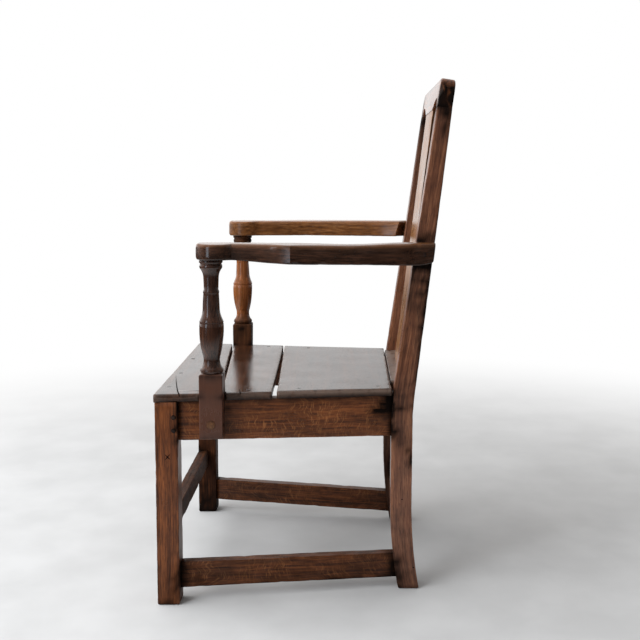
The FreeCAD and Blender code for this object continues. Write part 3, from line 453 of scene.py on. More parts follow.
def build(context, name, shells, node, finish):
    """One object from closed shells. Each shell is turned so that its volume, the sum of
    corner . (corner x corner) over its triangles, is positive, and so faces outwards."""
    points, quads, triangles, layers = [], [], [], {"grain": [], "worn": [], "soil": []}
    first = 0
    for part in shells:
        rows, columns = part.rings.shape[:2]
        poles = part.rings[[0, -1]].mean(1)
        cloud = np.concatenate([part.rings.reshape(-1, 3), poles])
        four, three = sheet_faces(rows, columns)
        fans = np.concatenate([four[:, :3], four[:, [0, 2, 3]], three])
        corners = cloud[fans] - cloud.mean(0)
        if np.einsum("ij,ij->i", corners[:, 0], np.cross(corners[:, 1], corners[:, 2])).sum() < 0:
            four, three = four[:, ::-1], three[:, ::-1]
        points.append(cloud)
        quads.append(four + first)
        triangles.append(three + first)
        for key, rows_of in layers.items():
            layer = getattr(part, key)
            flat = layer.reshape(rows * columns, -1)
            rows_of.append(np.concatenate([flat, layer[[0, -1]].mean(1).reshape(2, -1)]))
        first += len(cloud)
    points = (np.concatenate(points) + (0, FRONT_Y, 0)) * MM
    quads, triangles = np.concatenate(quads), np.concatenate(triangles)
    mesh = bpy.data.meshes.new(name)
    mesh.vertices.add(len(points))
    mesh.vertices.foreach_set("co", points.astype(np.float32).ravel())
    loops = np.concatenate([quads.ravel(), triangles.ravel()]).astype(np.int32)
    mesh.loops.add(len(loops))
    mesh.loops.foreach_set("vertex_index", loops)
    starts = np.concatenate([np.arange(len(quads)) * 4, len(quads) * 4 + np.arange(len(triangles)) * 3])
    mesh.polygons.add(len(starts))
    mesh.polygons.foreach_set("loop_start", starts.astype(np.int32))
    mesh.update(calc_edges=True)
    mesh.polygons.foreach_set("use_smooth", np.ones(len(starts), dtype=bool))
    for key, rows_of in layers.items():
        kind, field = ("FLOAT_VECTOR", "vector") if key == "grain" else ("FLOAT", "value")
        values = np.concatenate(rows_of).astype(np.float32)
        mesh.attributes.new(key, kind, "POINT").data.foreach_set(field, values.ravel())
    if mesh.validate():
        raise RuntimeError(f"{name} has unsound faces")
    piece = bpy.data.objects.new(name, mesh)
    context.scene.collection.objects.link(piece)
    mesh.materials.append(finish)
    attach(piece, "root")
    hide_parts(node)


# Finishes. Patterns follow the grain of each board through its own grain attribute, in metres.

def add(tree, kind, inputs=None, stops=None, **settings):
    """One node with its settings, its links or values by socket or in the order of the sockets, and the
    stops of its ramp."""
    node = tree.nodes.new(kind)
    for key, value in settings.items():
        setattr(node, key, value)
    for key, value in (inputs.items() if isinstance(inputs, dict) else enumerate(inputs or ())):
        if isinstance(value, bpy.types.NodeSocket):
            tree.links.new(value, node.inputs[key])
        else:
            node.inputs[key].default_value = value
    if stops:
        ramp = node.color_ramp
        while len(ramp.elements) < len(stops):
            ramp.elements.new(1)
        for element, (place, colour) in zip(ramp.elements, stops):
            element.position = place
            element.color = colour if hasattr(colour, "__len__") else (colour, colour, colour, 1)
    return node


def per_metre(along_mm, across_mm):
    """Scale of a pattern whose marks have that length along the grain and that width across it."""
    return 1 / (along_mm * MM), 1 / (across_mm * MM), 1 / (across_mm * MM)


# Sockets of a colour Mix node
MIX, FIRST, SECOND, MIXED = 0, 6, 7, 2


def waxed_oak(name, tones, worn, soot, *, ray=None, ring_mm=5, ring_run_mm=520, wear=0.3, stain=0.3,
              streak=0.35, gloss=0.28, shine=0.5, rub=0.45, dull=0.0, pores_seen=0.4, relief=0.12):
    """Old waxed oak. The eye gets long wavy growth rings, fine fibres, short dark pores along the grain,
    darker streaks and clouds of patina, rubbed arrises, in places with a painted highlight and sheen, and
    black joints, with painted shade on pieces in shadow; where ray is given, short pale curved flecks of
    quartered oak lie across the grain. Pores are about 0.3 mm wide on real oak and are drawn 2 mm wide,
    because finer ones would not show."""
    material = bpy.data.materials.get(name)
    if material:
        return material
    material = bpy.data.materials.new(name)
    material.use_nodes = True
    tree = material.node_tree
    shader = tree.nodes["Principled BSDF"]
    grain = add(tree, "ShaderNodeAttribute", attribute_name="grain").outputs["Vector"]
    place = add(tree, "ShaderNodeTexCoord").outputs["Object"]

    def bent(along_mm, across_mm, by):
        """The grain moved by slow noise of that length and width, by up to half of these metres."""
        slow = add(tree, "ShaderNodeVectorMath", (grain, per_metre(along_mm, across_mm)),
                   operation="MULTIPLY")
        sway = add(tree, "ShaderNodeTexNoise", {"Vector": slow.outputs[0], "Scale": 1.0, "Detail": 2.0})
        both_ways = add(tree, "ShaderNodeVectorMath", (sway.outputs["Color"], (0.5, 0.5, 0.5)),
                        operation="SUBTRACT")
        moved = add(tree, "ShaderNodeVectorMath", (both_ways.outputs[0], by, grain),
                    operation="MULTIPLY_ADD")
        return moved.outputs[0]

    def marks(vector, along_mm, across_mm, detail):
        """A pattern whose marks have that length along the grain and that width across it."""
        scaled = add(tree, "ShaderNodeVectorMath", (vector, per_metre(along_mm, across_mm)),
                     operation="MULTIPLY")
        return add(tree, "ShaderNodeTexNoise", {"Vector": scaled.outputs[0], "Scale": 1.0, "Detail": detail,
                                                "Roughness": 0.55}).outputs["Fac"]

    # growth rings and fibres
    wavy = bent(240, 50, (0.02, 0.016, 0.016))
    rings = marks(wavy, ring_run_mm, ring_mm, 3.0)
    fibres = marks(wavy, 40, 2.2, 2.0)
    both = add(tree, "ShaderNodeMix", {MIX: 0.45, 2: rings, 3: fibres}, data_type="FLOAT").outputs[0]
    dark, middle, light = tones
    body = add(tree, "ShaderNodeValToRGB", (both,), ((0.37, dark), (0.5, middle), (0.63, light))).outputs[0]
    if ray:
        # flecks about 2 mm along the grain and 14 mm across it, in long arcs, in patches about 90 mm long
        curved = marks(bent(120, 60, (0.09, 0.0, 0.0)), 2.0, 14, 1.0)
        flecks = add(tree, "ShaderNodeMapRange", (curved, 0.54, 0.68, 0.0, 1.0)).outputs[0]
        spread = marks(grain, 90, 60, 1.0)
        patch = add(tree, "ShaderNodeMapRange", (spread, 0.36, 0.6, 0.1, 0.65)).outputs[0]
        seen = add(tree, "ShaderNodeMath", (flecks, patch), operation="MULTIPLY").outputs[0]
        body = add(tree, "ShaderNodeMix", {MIX: seen, FIRST: body, SECOND: ray},
                   data_type="RGBA").outputs[MIXED]

    # streaks about 150 mm long and 13 mm wide, and clouds about 70 mm across
    cloud = add(tree, "ShaderNodeTexNoise", {"Vector": place, "Scale": 14.0, "Detail": 5.0,
                                             "Roughness": 0.6}).outputs[0]
    streaks = add(tree, "ShaderNodeMapRange", (marks(wavy, 150, 13, 3.0), 0.36, 0.54, 1 - streak,
                                               1.0)).outputs[0]
    clouds = add(tree, "ShaderNodeMapRange", (cloud, 0.34, 0.54, 1 - stain, 1.0)).outputs[0]
    shade = add(tree, "ShaderNodeMath", (streaks, clouds), operation="MULTIPLY").outputs[0]
    body = add(tree, "ShaderNodeMix", {MIX: 1.0, FIRST: body, SECOND: shade}, data_type="RGBA",
               blend_type="MULTIPLY").outputs[MIXED]
    pores = add(tree, "ShaderNodeMapRange", (marks(wavy, 14, 2.0, 1.0), 0.55, 0.7, 0.0,
                                             pores_seen)).outputs[0]
    body = add(tree, "ShaderNodeMix", {MIX: pores, FIRST: body, SECOND: soot},
               data_type="RGBA").outputs[MIXED]
    # rubbed spots about 14 mm across on the arrises, which in places carry painted highlights and sheen,
    # and the dirt and painted shade
    patches = add(tree, "ShaderNodeTexNoise", {"Vector": place, "Scale": 70.0, "Detail": 4.0}).outputs[0]
    spots = add(tree, "ShaderNodeMapRange", (patches, rub, rub + 0.35, 0.0, wear)).outputs[0]
    edge = add(tree, "ShaderNodeAttribute", attribute_name="worn").outputs["Fac"]
    rubbed = add(tree, "ShaderNodeMath", (edge, spots), operation="MULTIPLY").outputs[0]
    # the dark of this attribute is dirt, and painted shade on pieces that stand in shadow
    dirt = add(tree, "ShaderNodeAttribute", attribute_name="soil").outputs["Fac"]
    for amount, colour in ((rubbed, worn), (dirt, soot)):
        body = add(tree, "ShaderNodeMix", {MIX: amount, FIRST: body, SECOND: colour},
                   data_type="RGBA").outputs[MIXED]
    tree.links.new(body, shader.inputs["Base Color"])

    wax = add(tree, "ShaderNodeMapRange", (cloud, 0.3, 0.7, gloss * 0.8, gloss * 1.3)).outputs[0]
    for amount, rougher in ((pores, 0.25), (rubbed, dull), (dirt, 0.5)):
        wax = add(tree, "ShaderNodeMath", (amount, rougher, wax), operation="MULTIPLY_ADD").outputs[0]
    tree.links.new(wax, shader.inputs["Roughness"])
    clean = add(tree, "ShaderNodeMath", (dirt, -0.85 * shine, shine), operation="MULTIPLY_ADD").outputs[0]
    tree.links.new(clean, shader.inputs["Specular IOR Level"])
    height = add(tree, "ShaderNodeMath", (pores, -1.2, both), operation="MULTIPLY_ADD")
    bump = add(tree, "ShaderNodeBump", {"Height": height.outputs[0], "Strength": relief,
                                        "Distance": 0.5 * MM})
    tree.links.new(bump.outputs[0], shader.inputs["Normal"])
    shader.inputs["IOR"].default_value = 1.5
    return material


def planed_frame_oak(c):
    """Oak planed by hand, for the front legs: orange brown with straight rings and a soft wax gloss."""
    return waxed_oak("planed_frame_oak", (c.oak_dark, c.oak_mid, c.oak_light), c.worn, c.soot,
                     streak=0.24, shine=0.3)


def weathered_post_oak(c):
    """Oak of the back posts: a little greyer and glossier than the legs, the grey partly painted sheen,
    with soft streaks.
    """
    return waxed_oak("weathered_post_oak", (c.post_dark, c.post_mid, c.post_light), c.worn, c.soot,
                     streak=0.2)


def quartered_rail_oak(c):
    """Quarter-sawn oak, for rails and stretchers: short pale ray flecks curve across straight rings."""
    return waxed_oak("quartered_rail_oak", (c.oak_dark, c.oak_mid, c.oak_light), c.worn, c.soot,
                     ray=c.ray, ring_mm=4, wear=0.25, streak=0.3, shine=0.35)


def sat_on_seat_oak(c):
    """Seat boards polished by use: dark brown rings under a smooth old wax that mirrors the light."""
    return waxed_oak("sat_on_seat_oak", (c.seat_dark, c.seat_mid, c.seat_light), c.seat_edge, c.soot,
                     ring_mm=8, gloss=0.17, shine=0.44, wear=0.85, rub=0.15, dull=0.3, pores_seen=0.25,
                     relief=0.13)


def handled_arm_oak(c):
    """Left arm, blackened and polished by hands: nearly black oak with a clear gloss."""
    # its worn colour, the tan of the right arm, lies on the top: hand wear, and partly painted light
    return waxed_oak("handled_arm_oak", (c.arm_dark, c.arm_mid, c.arm_light), c.warm_mid, c.soot,
                     gloss=0.15, wear=0.75, stain=0.2, streak=0.15, rub=0.15, dull=0.05, relief=0.05)


def cleaner_arm_oak(c):
    """Right arm, less handled: warm tan brown with the grain still plain to see."""
    return waxed_oak("cleaner_arm_oak", (c.warm_dark, c.warm_mid, c.warm_light), c.worn, c.soot,
                     gloss=0.18, wear=0.5, stain=0.25, streak=0.15, rub=0.15, dull=0.08, relief=0.05)


def turned_dark_oak(c):
    """Left support, turned and blackened: dark glossy swells, dirt in the necks, and a redder block."""
    return waxed_oak("turned_dark_oak", (c.arm_dark, c.turned_mid, c.turned_light), c.turned_block, c.soot,
                     gloss=0.15, shine=0.6, wear=0.85, stain=0.2, streak=0.1, rub=0, dull=0.15,
                     pores_seen=0.12, relief=0.03)


def turned_warm_oak(c):
    """Right support, turned and cleaner: orange brown swells with dirt in the necks."""
    return waxed_oak("turned_warm_oak", (c.warm_mid, c.orange_mid, c.orange_light), c.worn, c.soot,
                     gloss=0.2, wear=0.2, stain=0.3, streak=0.12, pores_seen=0.2, relief=0.05)


def waxed_back_oak(c):
    """Oak of the back, waxed often: even brown with fine rings and a clear gloss at a low angle."""
    return waxed_oak("waxed_back_oak", (c.oak_dark, c.oak_mid, c.oak_light), c.worn, c.soot,
                     ring_mm=6, gloss=0.16, shine=0.42, pores_seen=0.2, relief=0.04)


def pale_splat_oak(c):
    """Oak of the splat, paler than the frame: tan with fine darker rings, softly glossy at a low angle."""
    return waxed_oak("pale_splat_oak", (c.splat_dark, c.splat_mid, c.splat_light), c.worn, c.soot,
                     ring_mm=6, streak=0.25, gloss=0.28, shine=0.3, pores_seen=0.3, relief=0.05)


def riven_peg_oak(c):
    """End grain of riven pegs: black with old wax and dull."""
    return waxed_oak("riven_peg_oak", (c.soot, c.peg_end, c.oak_dark), c.oak_mid, c.soot,
                     ring_mm=3, ring_run_mm=30, gloss=0.45)


def large_peg_oak(c):
    """End grain of the large pegs: as brown as the block, in a black ring."""
    return waxed_oak("large_peg_oak", (c.oak_dark, c.warm_mid, c.warm_light), c.warm_light, c.soot,
                     ring_mm=3, ring_run_mm=30, gloss=0.4)


def forged_nail_iron(c):
    """Forged iron, rusted and waxed over: nearly black, hammered and dull."""
    material = bpy.data.materials.get("forged_nail_iron") or bpy.data.materials.new("forged_nail_iron")
    material.use_nodes = True
    tree = material.node_tree
    shader = tree.nodes["Principled BSDF"]
    place = add(tree, "ShaderNodeTexCoord").outputs["Object"]
    # hammer marks about 2 mm apart
    marks = add(tree, "ShaderNodeTexNoise", {"Vector": place, "Scale": 500.0, "Detail": 3.0}).outputs["Fac"]
    tone = add(tree, "ShaderNodeValToRGB", {"Fac": marks}, stops=((0.35, c.soot), (0.7, c.iron)))
    tree.links.new(tone.outputs["Color"], shader.inputs["Base Color"])
    bump = add(tree, "ShaderNodeBump", {"Height": marks, "Strength": 0.2, "Distance": 0.4 * MM})
    tree.links.new(bump.outputs[0], shader.inputs["Normal"])
    shader.inputs["Metallic"].default_value = 0.3
    shader.inputs["Roughness"].default_value = 0.3
    return material


class ARMCHAIR_OT_front_legs(bpy.types.Operator):
    """Two square front legs, rounded at the arrises and worn at the feet"""
    bl_idname = "armchair.front_legs"
    bl_label = "Front legs"

    def execute(self, context):
        s, c = millimetres(context), colours(context)
        for seed, (side, sign) in enumerate((("left", 1), ("right", -1)), start=1):
            z, inset = stations(s.rail_top, 12, s.foot_wear, 0)
            middle = s.front_half - s.leg_width / 2
            centre = np.stack([np.full_like(z, sign * middle), np.full_like(z, s.leg_width / 2), z], 1)
            half = s.leg_width / 2
            # The right leg is darker all over: dirt, and painted shade under the seat.
            leg = timber(centre, (half, 0, 0), (0, half, 0), s.leg_arris, inset, seed,
                         soil=0 if sign > 0 else 0.64)
            face = s.front_half - 0.1
            # a small cross scratched on the outside of the left leg
            cross = [scratch([(face, 18, 287 - rise), (face, 28, 287 + rise)], (1, 0, 0), 1.7)
                     for rise in (6, -5)]
            build(context, f"leg_{side}", [leg] + (cross if sign > 0 else []), f"front_leg_{side}",
                  planed_frame_oak(c))
        return {"FINISHED"}


class ARMCHAIR_OT_back_posts(bpy.types.Operator):
    """Two back posts, each one piece from the floor to the crest: swept at the foot, leaning above"""
    bl_idname = "armchair.back_posts"
    bl_label = "Back posts"

    def execute(self, context):
        s, c = millimetres(context), colours(context)
        swing = np.linspace(0, math.pi / 2, 6)[:-1]
        lift = s.foot_wear * (1 - np.cos(swing))
        front, back = (np.concatenate([np.stack([np.full(5, edge[0, 0]), lift], 1), edge[1:]])
                       for edge in post_edges(s))
        inset = np.concatenate([s.foot_wear * (1 - np.sin(swing)), np.zeros(len(front) - 5)])
        for seed, (side, sign) in enumerate((("left", 1), ("right", -1)), start=3):
            x = np.full(len(front), sign * (s.back_half - s.post_width / 2))
            middle, half = (front + back) / 2, (back - front) / 2
            centre = np.column_stack([x, middle])
            height = middle[:, 1]
            # Painted shade: the right post is darker below the seat and towards the crest. The left post
            # darkens a little towards the top.
            dark = (0.45 * np.clip((s.seat_height - height) / 60, 0, 1)
                    + 0.8 * np.clip((height - 690) / 230, 0, 1))
            upper = 0.14 * np.clip((height - 640) / 120, 0, 1)
            post = timber(centre, (s.post_width / 2, 0, 0), np.column_stack([0 * x, half]), s.post_arris,
                          inset, seed, soil=(upper if sign > 0 else dark)[:, None])
            face = s.back_half - 0.1
            # two small holes in the outside of the left post, flat dark marks: dirt and painted shade
            holes = [scratch([(face, y - 1.6, z), (face, y + 1.6, z)], (1, 0, 0), 2.6)
                     for y, z in ((463, 182), (487, 44))]
            build(context, f"post_{side}", [post] + (holes if sign > 0 else []), f"back_post_{side}",
                  weathered_post_oak(c))
        return {"FINISHED"}


def post_edges(s):
    """Front and back edges of a post, seen from the side, with the same number of points each: an arc
    at the foot, an upright, an arc into the lean, and a straight taper to the top."""
    lean_y = s.post_front + s.bend_radius * (1 - math.cos(LEAN))
    lean_z = s.bend_height + s.bend_radius * math.sin(LEAN)
    top_y = lean_y + (s.post_top - lean_z) * math.tan(LEAN)
    sweep = (s.sweep_height ** 2 + s.foot_sweep ** 2) / (2 * s.foot_sweep)
    edges = []
    for depth, top_depth in ((0, 0), (s.post_depth, s.post_top_depth)):
        upright = s.post_front + depth
        lean = (lean_y + depth * math.cos(LEAN), lean_z - depth * math.sin(LEAN))
        top = (top_y + top_depth * math.cos(LEAN), s.post_top - top_depth * math.sin(LEAN))
        edges.append(chain(
            arc((upright + s.foot_sweep, 0), (upright, s.sweep_height), sweep, 1, 16),
            line((upright, s.sweep_height), (upright, s.bend_height), 12),
            arc((upright, s.bend_height), lean, s.bend_radius - depth, 1, 10),
            line(lean, top, 42)))
    return edges


def side_line(s, inset, y):
    """Place of the outer face of a side rail or stretcher at a depth y."""
    return s.front_half - inset - y * math.tan(SPLAY)


class ARMCHAIR_OT_seat_rails(bpy.types.Operator):
    """Four seat rails; the side ones follow the splay and are deeper at the back"""
    bl_idname = "armchair.seat_rails"
    bl_label = "Seat rails"

    def execute(self, context):
        s, c = millimetres(context), colours(context)
        wood = quartered_rail_oak(c)
        y = np.linspace(s.leg_width - 1.5, s.post_front + 2, 36)
        wide = s.rail_thick / math.cos(SPLAY)
        outer = side_line(s, s.rail_inset, y)
        deep = s.rail_front_depth + (s.rail_back_depth - s.rail_front_depth) * y / s.post_front
        centre = np.stack([outer - wide / 2, y, s.rail_top - deep / 2], 1)
        upright = np.stack([0 * y, 0 * y, deep / 2], 1)
        left = timber(centre, (wide / 2, 0, 0), upright, s.rail_arris, 0, 5)
        out = (math.cos(SPLAY), math.sin(SPLAY), 0)
        gouges = [scratch([(side_line(s, s.rail_inset + 0.1, y), y, z) for y, z in run], out, wide_of)
                  for run, wide_of in ((((405, 361), (424, 358), (438, 360)), 6.5),
                                       (((416, 372), (438, 370)), 3))]
        build(context, "side_rail_left", [left, *gouges], "side_seat_rail_left", wood)
        # The right rail is darker all over: dirt, and painted shade under the seat.
        build(context, "side_rail_right", [mirror(left, 0.3)], "side_seat_rail_right", wood)
        for seed, (name, half, front, depth) in enumerate((
                ("front", s.front_half - s.leg_width, s.rail_inset, s.rail_front_depth),
                ("back", s.back_half - s.post_width,
                 s.post_front + s.post_depth - 1.5 - s.rail_thick, s.rail_back_depth)), start=6):
            rail = cross_bar(half, front, s.rail_thick, s.rail_top, depth, s.rail_arris, seed)
            build(context, f"{name}_rail", [rail], f"{name}_seat_rail", wood)
        return {"FINISHED"}


def cross_bar(half, front, thick, top, depth, arris, seed, soil=0):
    """A bar from side to side whose ends run 1.5 mm into the legs or posts."""
    x = np.linspace(-half - 1.5, half + 1.5, 40)
    centre = np.stack([x, np.full_like(x, front + thick / 2), np.full_like(x, top - depth / 2)], 1)
    return timber(centre, (0, thick / 2, 0), (0, 0, depth / 2), arris, 0, seed, soil=soil)


class ARMCHAIR_OT_stretchers(bpy.types.Operator):
    """Four stretchers: two low at the sides, and one across at the front and at the back"""
    bl_idname = "armchair.stretchers"
    bl_label = "Stretchers"

    def execute(self, context):
        s, c = millimetres(context), colours(context)
        wood = quartered_rail_oak(c)
        y = np.linspace(s.leg_width - 1.5, s.post_front + s.foot_sweep - 1, 36)
        wide = s.stretcher_thick / math.cos(SPLAY)
        low = s.stretcher_front + (s.stretcher_back - s.stretcher_front) * y / s.post_front
        outer = side_line(s, s.stretcher_inset, y)
        centre = np.stack([outer - wide / 2, y, low + s.stretcher_depth / 2], 1)
        left = timber(centre, (wide / 2, 0, 0), (0, 0, s.stretcher_depth / 2), s.rail_arris, 0, 8,
                      soil=0.24)
        build(context, "low_stretcher_left", [left], "side_stretcher_left", wood)
        # The right stretcher is darker all over: dirt, and painted shade under the seat.
        build(context, "low_stretcher_right", [mirror(left, 0.2)], "side_stretcher_right",
              wood)
        back_front = s.post_front + (s.foot_sweep + s.post_depth - s.stretcher_thick) / 2
        for seed, (name, half, front) in enumerate((
                ("front", s.front_half - s.leg_width, 1),
                ("back", s.back_half - s.post_width, back_front)), start=9):
            # The cross stretchers are darker, the front one most: dirt, and painted shade under the seat.
            bar = cross_bar(half, front, s.stretcher_thick, s.cross_top, s.cross_depth, s.rail_arris, seed,
                            0.62 if name == "front" else 0.4)
            build(context, f"cross_stretcher_{name}", [bar], f"{name}_stretcher", wood)
        return {"FINISHED"}


# Splits in the seat boards: points from the open end along the grain, the width there, in millimetres, and
# whether the split also shows in the end of the board
SPLITS = {
    "front": ((((274, 45), (250, 38.5), (221, 32.3), (160, 20), (101, 9.4)), 3, True),),
    "middle": ((((258, 156), (246, 153.5), (230, 151)), 2.4, True),),
    "back": (),
}


class ARMCHAIR_OT_seat_boards(bpy.types.Operator):
    """Three seat boards with worn edges, two skewed gaps and notches round the arm supports"""
    bl_idname = "armchair.seat_boards"
    bl_label = "Seat boards"

    def execute(self, context):
        s, c = millimetres(context), colours(context)
        wood = sat_on_seat_oak(c)
        notch = s.arm_x - s.block_width / 2 - s.notch_clearance

        def second_gap(x):
            return s.back_gap_wide + s.back_gap_flare * (x / s.seat_front_half - 0.2)

        notch_front, notch_back = (
            s.support_at + side * (s.block_width / 2 + s.notch_clearance) for side in (-1, 1))
        boards = (
            ("front", lambda x: 0 * x - s.front_overhang,
             lambda x: np.where(x > notch, notch_front,
                                s.front_gap + x * FIRST_GAP_TURN - s.front_gap_wide / 2)),
            ("middle", lambda x: np.where(np.abs(x) > notch, notch_back,
                                          s.front_gap + x * FIRST_GAP_TURN + s.front_gap_wide / 2),
             lambda x: s.back_gap + x * SECOND_GAP_TURN - second_gap(x) / 2),
            ("back", lambda x: s.back_gap + x * SECOND_GAP_TURN + second_gap(x) / 2,
             lambda x: 0 * x + s.post_front),
        )
        for seed, (name, front_of, back_of) in enumerate(boards, start=11):
            board = seat_board(s, front_of, back_of, notch, seed)
            splits = [scratch([(x, y, s.seat_height - 0.25) for x, y in run], (0, 0, 1), wide, True)
                      for run, wide, shows in SPLITS[name]]
            splits += [scratch([(x, y, s.seat_height - 2), (x, y + 1, s.rail_top + 2)], (1, 0, 0),
                               wide, True) for ((x, y), *rest), wide, shows in SPLITS[name] if shows]
            build(context, f"board_{name}", [board, *splits], f"seat_board_{name}", wood)
        return {"FINISHED"}


def seat_board(s, front_of, back_of, notch, seed):
    """A board from side to side: rounded rectangles in planes of one x, from its front edge to its back
    edge, carried across the chair. Outside the notches the ends are pulled to the slanting sides of the
    seat, x + (side(y) - side(middle)) * share, and the top sinks by a worn hollow, a bell curve."""
    def side(y):
        share = (y + s.front_overhang) / (s.post_front + s.front_overhang)
        return s.seat_front_half + (s.seat_back_half - s.seat_front_half) * share

    middle_y = (front_of(np.zeros(1)) + back_of(np.zeros(1))) / 2
    end = float(side(middle_y)[0])
    notch = min(notch, end - 25)
    outer, inset = stations(end - notch, 4, 0, s.board_end)
    beyond = notch + 0.02 + outer
    x = np.concatenate([-beyond[::-1], np.linspace(-notch, notch, 90), beyond])
    inset = np.concatenate([inset[::-1], np.zeros(90), inset])
    front, back = front_of(x), back_of(x)
    centre = np.stack([x, (front + back) / 2, np.full_like(x, s.seat_height - s.board_thick / 2)], 1)
    deep = np.stack([0 * x, (back - front) / 2, 0 * x], 1)
    cuts = (0.015, 0.06, 0.14, 0.24, 0.34, 0.44, 0.56, 0.66, 0.76, 0.86, 0.94, 0.985)
    edges = (s.board_arris, s.board_arris, 0.8, 0.8)
    board = timber(centre, deep, (0, 0, s.board_thick / 2), edges, inset, seed, 0.3, 0.4, cuts,
                   joints=False)
    points = board.rings
    lower = np.clip((s.seat_height - s.board_thick / 2 - points[..., 2]) / (s.board_thick / 2), 0, 1)
    points[..., 2] += lower * (s.rail_top - points[..., 2].min(1, keepdims=True))
    share = np.clip((np.abs(x) - notch) / (end - notch), 0, 1)[:, None]
    points[..., 0] += np.sign(x)[:, None] * share * (side(points[..., 1]) - end)
    high = np.clip((points[..., 2] - s.rail_top) / s.board_thick, 0, 1)
    # The ends of the boards: painted shadow on their lower part, under the overhang, and a lighter grey
    # top, worn end grain with painted sheen; both fade towards the front of the seat.
    at_end = np.clip(1 - (end - np.abs(x)) / s.board_end, 0, 1)[:, None]
    at_end = at_end * np.clip(points[..., 1] / 300, 0.2, 1)
    board.soil = np.clip(board.soil + 0.75 * at_end ** 0.3 * np.clip(1 - 1.6 * high, 0, 1), 0, 1)
    at_end *= np.clip(1.7 * high - 0.2, 0, 1)
    board.worn = np.maximum(0.4 * board.worn, at_end)
    bell = np.exp(-(points[..., 0] / 150) ** 2 - ((points[..., 1] - 230) / 130) ** 2)
    points[..., 2] -= s.seat_hollow * bell * high
    return board


def support_profile(s, block, under):
    """Radius and height of the turning from the block to the arm, as on the lathe: ring, hollow neck,
    vase with a groove, shoulder, tapering stem, thin ring, cove, collar and cap."""
    def hollow(run, rise):
        return (rise * rise + run * run) / (2 * run)

    def bead(high, depth):
        return (high * high / 4 + depth * depth) / (2 * depth)

    def cove(start, end):
        return arc(start, end, hollow(abs(end[0] - start[0]), end[1] - start[1]), 1, 8)

    def swell(start, end, depth):
        return arc(start, end, bead(end[1] - start[1], depth), -1, 8)

    up = [(18.5, 0), (18.5, 11), (14.75, 24.5), (16.6, 35), (19.55, 48), (22.2, 81), (22.2, 92),
          (21.0, 93.5), (22.2, 95), (20.6, 100), (15.4, 122.5)]
    up = [(radius, block + rise) for radius, rise in up]
    down = [(14.1, 62), (14.7, 60.5), (14.7, 57.5), (13.4, 55), (13.95, 33), (19.2, 17), (19.2, 7.5),
            (21.6, 5), (21.6, 0)]
    down = [(radius, under - drop) for radius, drop in down]
    return chain(
        swell(up[0], up[1], 3), cove(up[1], up[2]), cove(up[2], up[3]), line(up[3], up[4], 3),
        arc(up[4], up[5], hollow(2.65, 33), -1, 10), line(up[5], up[6], 2), line(up[6], up[7]),
        line(up[7], up[8]), line(up[8], up[9], 2), cove(up[9], up[10]), line(up[10], down[0], 6),
        line(down[0], down[1]), line(down[1], down[2]), line(down[2], down[3]), line(down[3], down[4], 3),
        cove(down[4], down[5]), swell(down[5], down[6], 1.7), line(down[6], down[7]),
        line(down[7], down[8]))


class ARMCHAIR_OT_arm_supports(bpy.types.Operator):
    """Two arm supports: a square block lapped on the side rail, with a turned vase and rings above"""
    bl_idname = "armchair.arm_supports"
    bl_label = "Arm supports"

    def execute(self, context):
        s, c = millimetres(context), colours(context)
        for seed, (side, lift, wood, ends_dirt_and_shade) in enumerate((
                ("left", 0, turned_dark_oak(c), 0),
                ("right", s.right_lift, turned_warm_oak(c), 0.72)), start=14):
            block, under = s.block_top + lift, s.arm_top - s.arm_thick + lift
            left = arm_support(s, block, under, seed)
            low, high = block + 26 - left.rings[..., 2], left.rings[..., 2] - under + 34
            # The right support is darker at its block and under the arm: dirt, and painted shade.
            soil = ends_dirt_and_shade * np.clip(np.maximum(low, high) / 20, 0, 1)
            piece = left if side == "left" else mirror(left, soil)
            build(context, f"support_{side}", [piece], f"arm_support_{side}", wood)
        return {"FINISHED"}


def arm_support(s, block, under, seed):
    """Rings up the support: rounded squares up the block, then circles of the turned radius at the same
    angles. Below the top of the rail, what lies inside the rail's outer face is moved onto that face."""
    half = s.block_width / 2
    z, inset = stations(block - s.block_low, 8, 1.5, 3)
    turned = support_profile(s, block, under)
    tangents = 0.5 + 0.5 * np.tan(np.linspace(-0.72, 0.72, 9))
    offset, outward, near = section(half - inset, half - inset, 1.8, tuple(tangents), 4)
    level = np.broadcast_to((z + s.block_low)[:, None, None], near.shape + (1,))
    square = np.concatenate([offset, level], -1)
    angle = np.arctan2(offset[-6, :, 1], offset[-6, :, 0])
    radius, rise = turned[:, :1], turned[:, 1:]
    round_part = np.stack([radius * np.cos(angle), radius * np.sin(angle), rise + 0 * angle], -1)
    rings = np.concatenate([square, round_part]) + (s.arm_x, s.support_at, 0)
    # The widest swells are drawn a little lighter: rubbed wear and painted highlight.
    swell = np.clip((radius - 16) / 5, 0, 1) + 0 * angle
    worn = np.concatenate([0.8 + 0.2 * near, swell * 0.12])
    low = np.clip((16 - radius) / 2.5, 0, 0.15) + 0 * angle
    soil = np.concatenate([0 * near, low])
    rings[..., :2] += 0.25 * ripple(rings, 60, seed)[..., None]
    face = side_line(s, s.rail_inset, rings[..., 1]) - 0.4
    lapped = (rings[..., 2] < s.rail_top) & (rings[..., 0] < face)
    rings[..., 0] = np.where(lapped, face, rings[..., 0])
    away = rings - (s.arm_x, s.support_at, 0)
    grain = away[..., [2, 0, 1]] + seed * GRAIN_STEP * (1, 1, 0)
    return shell(rings, grain, worn, soil)


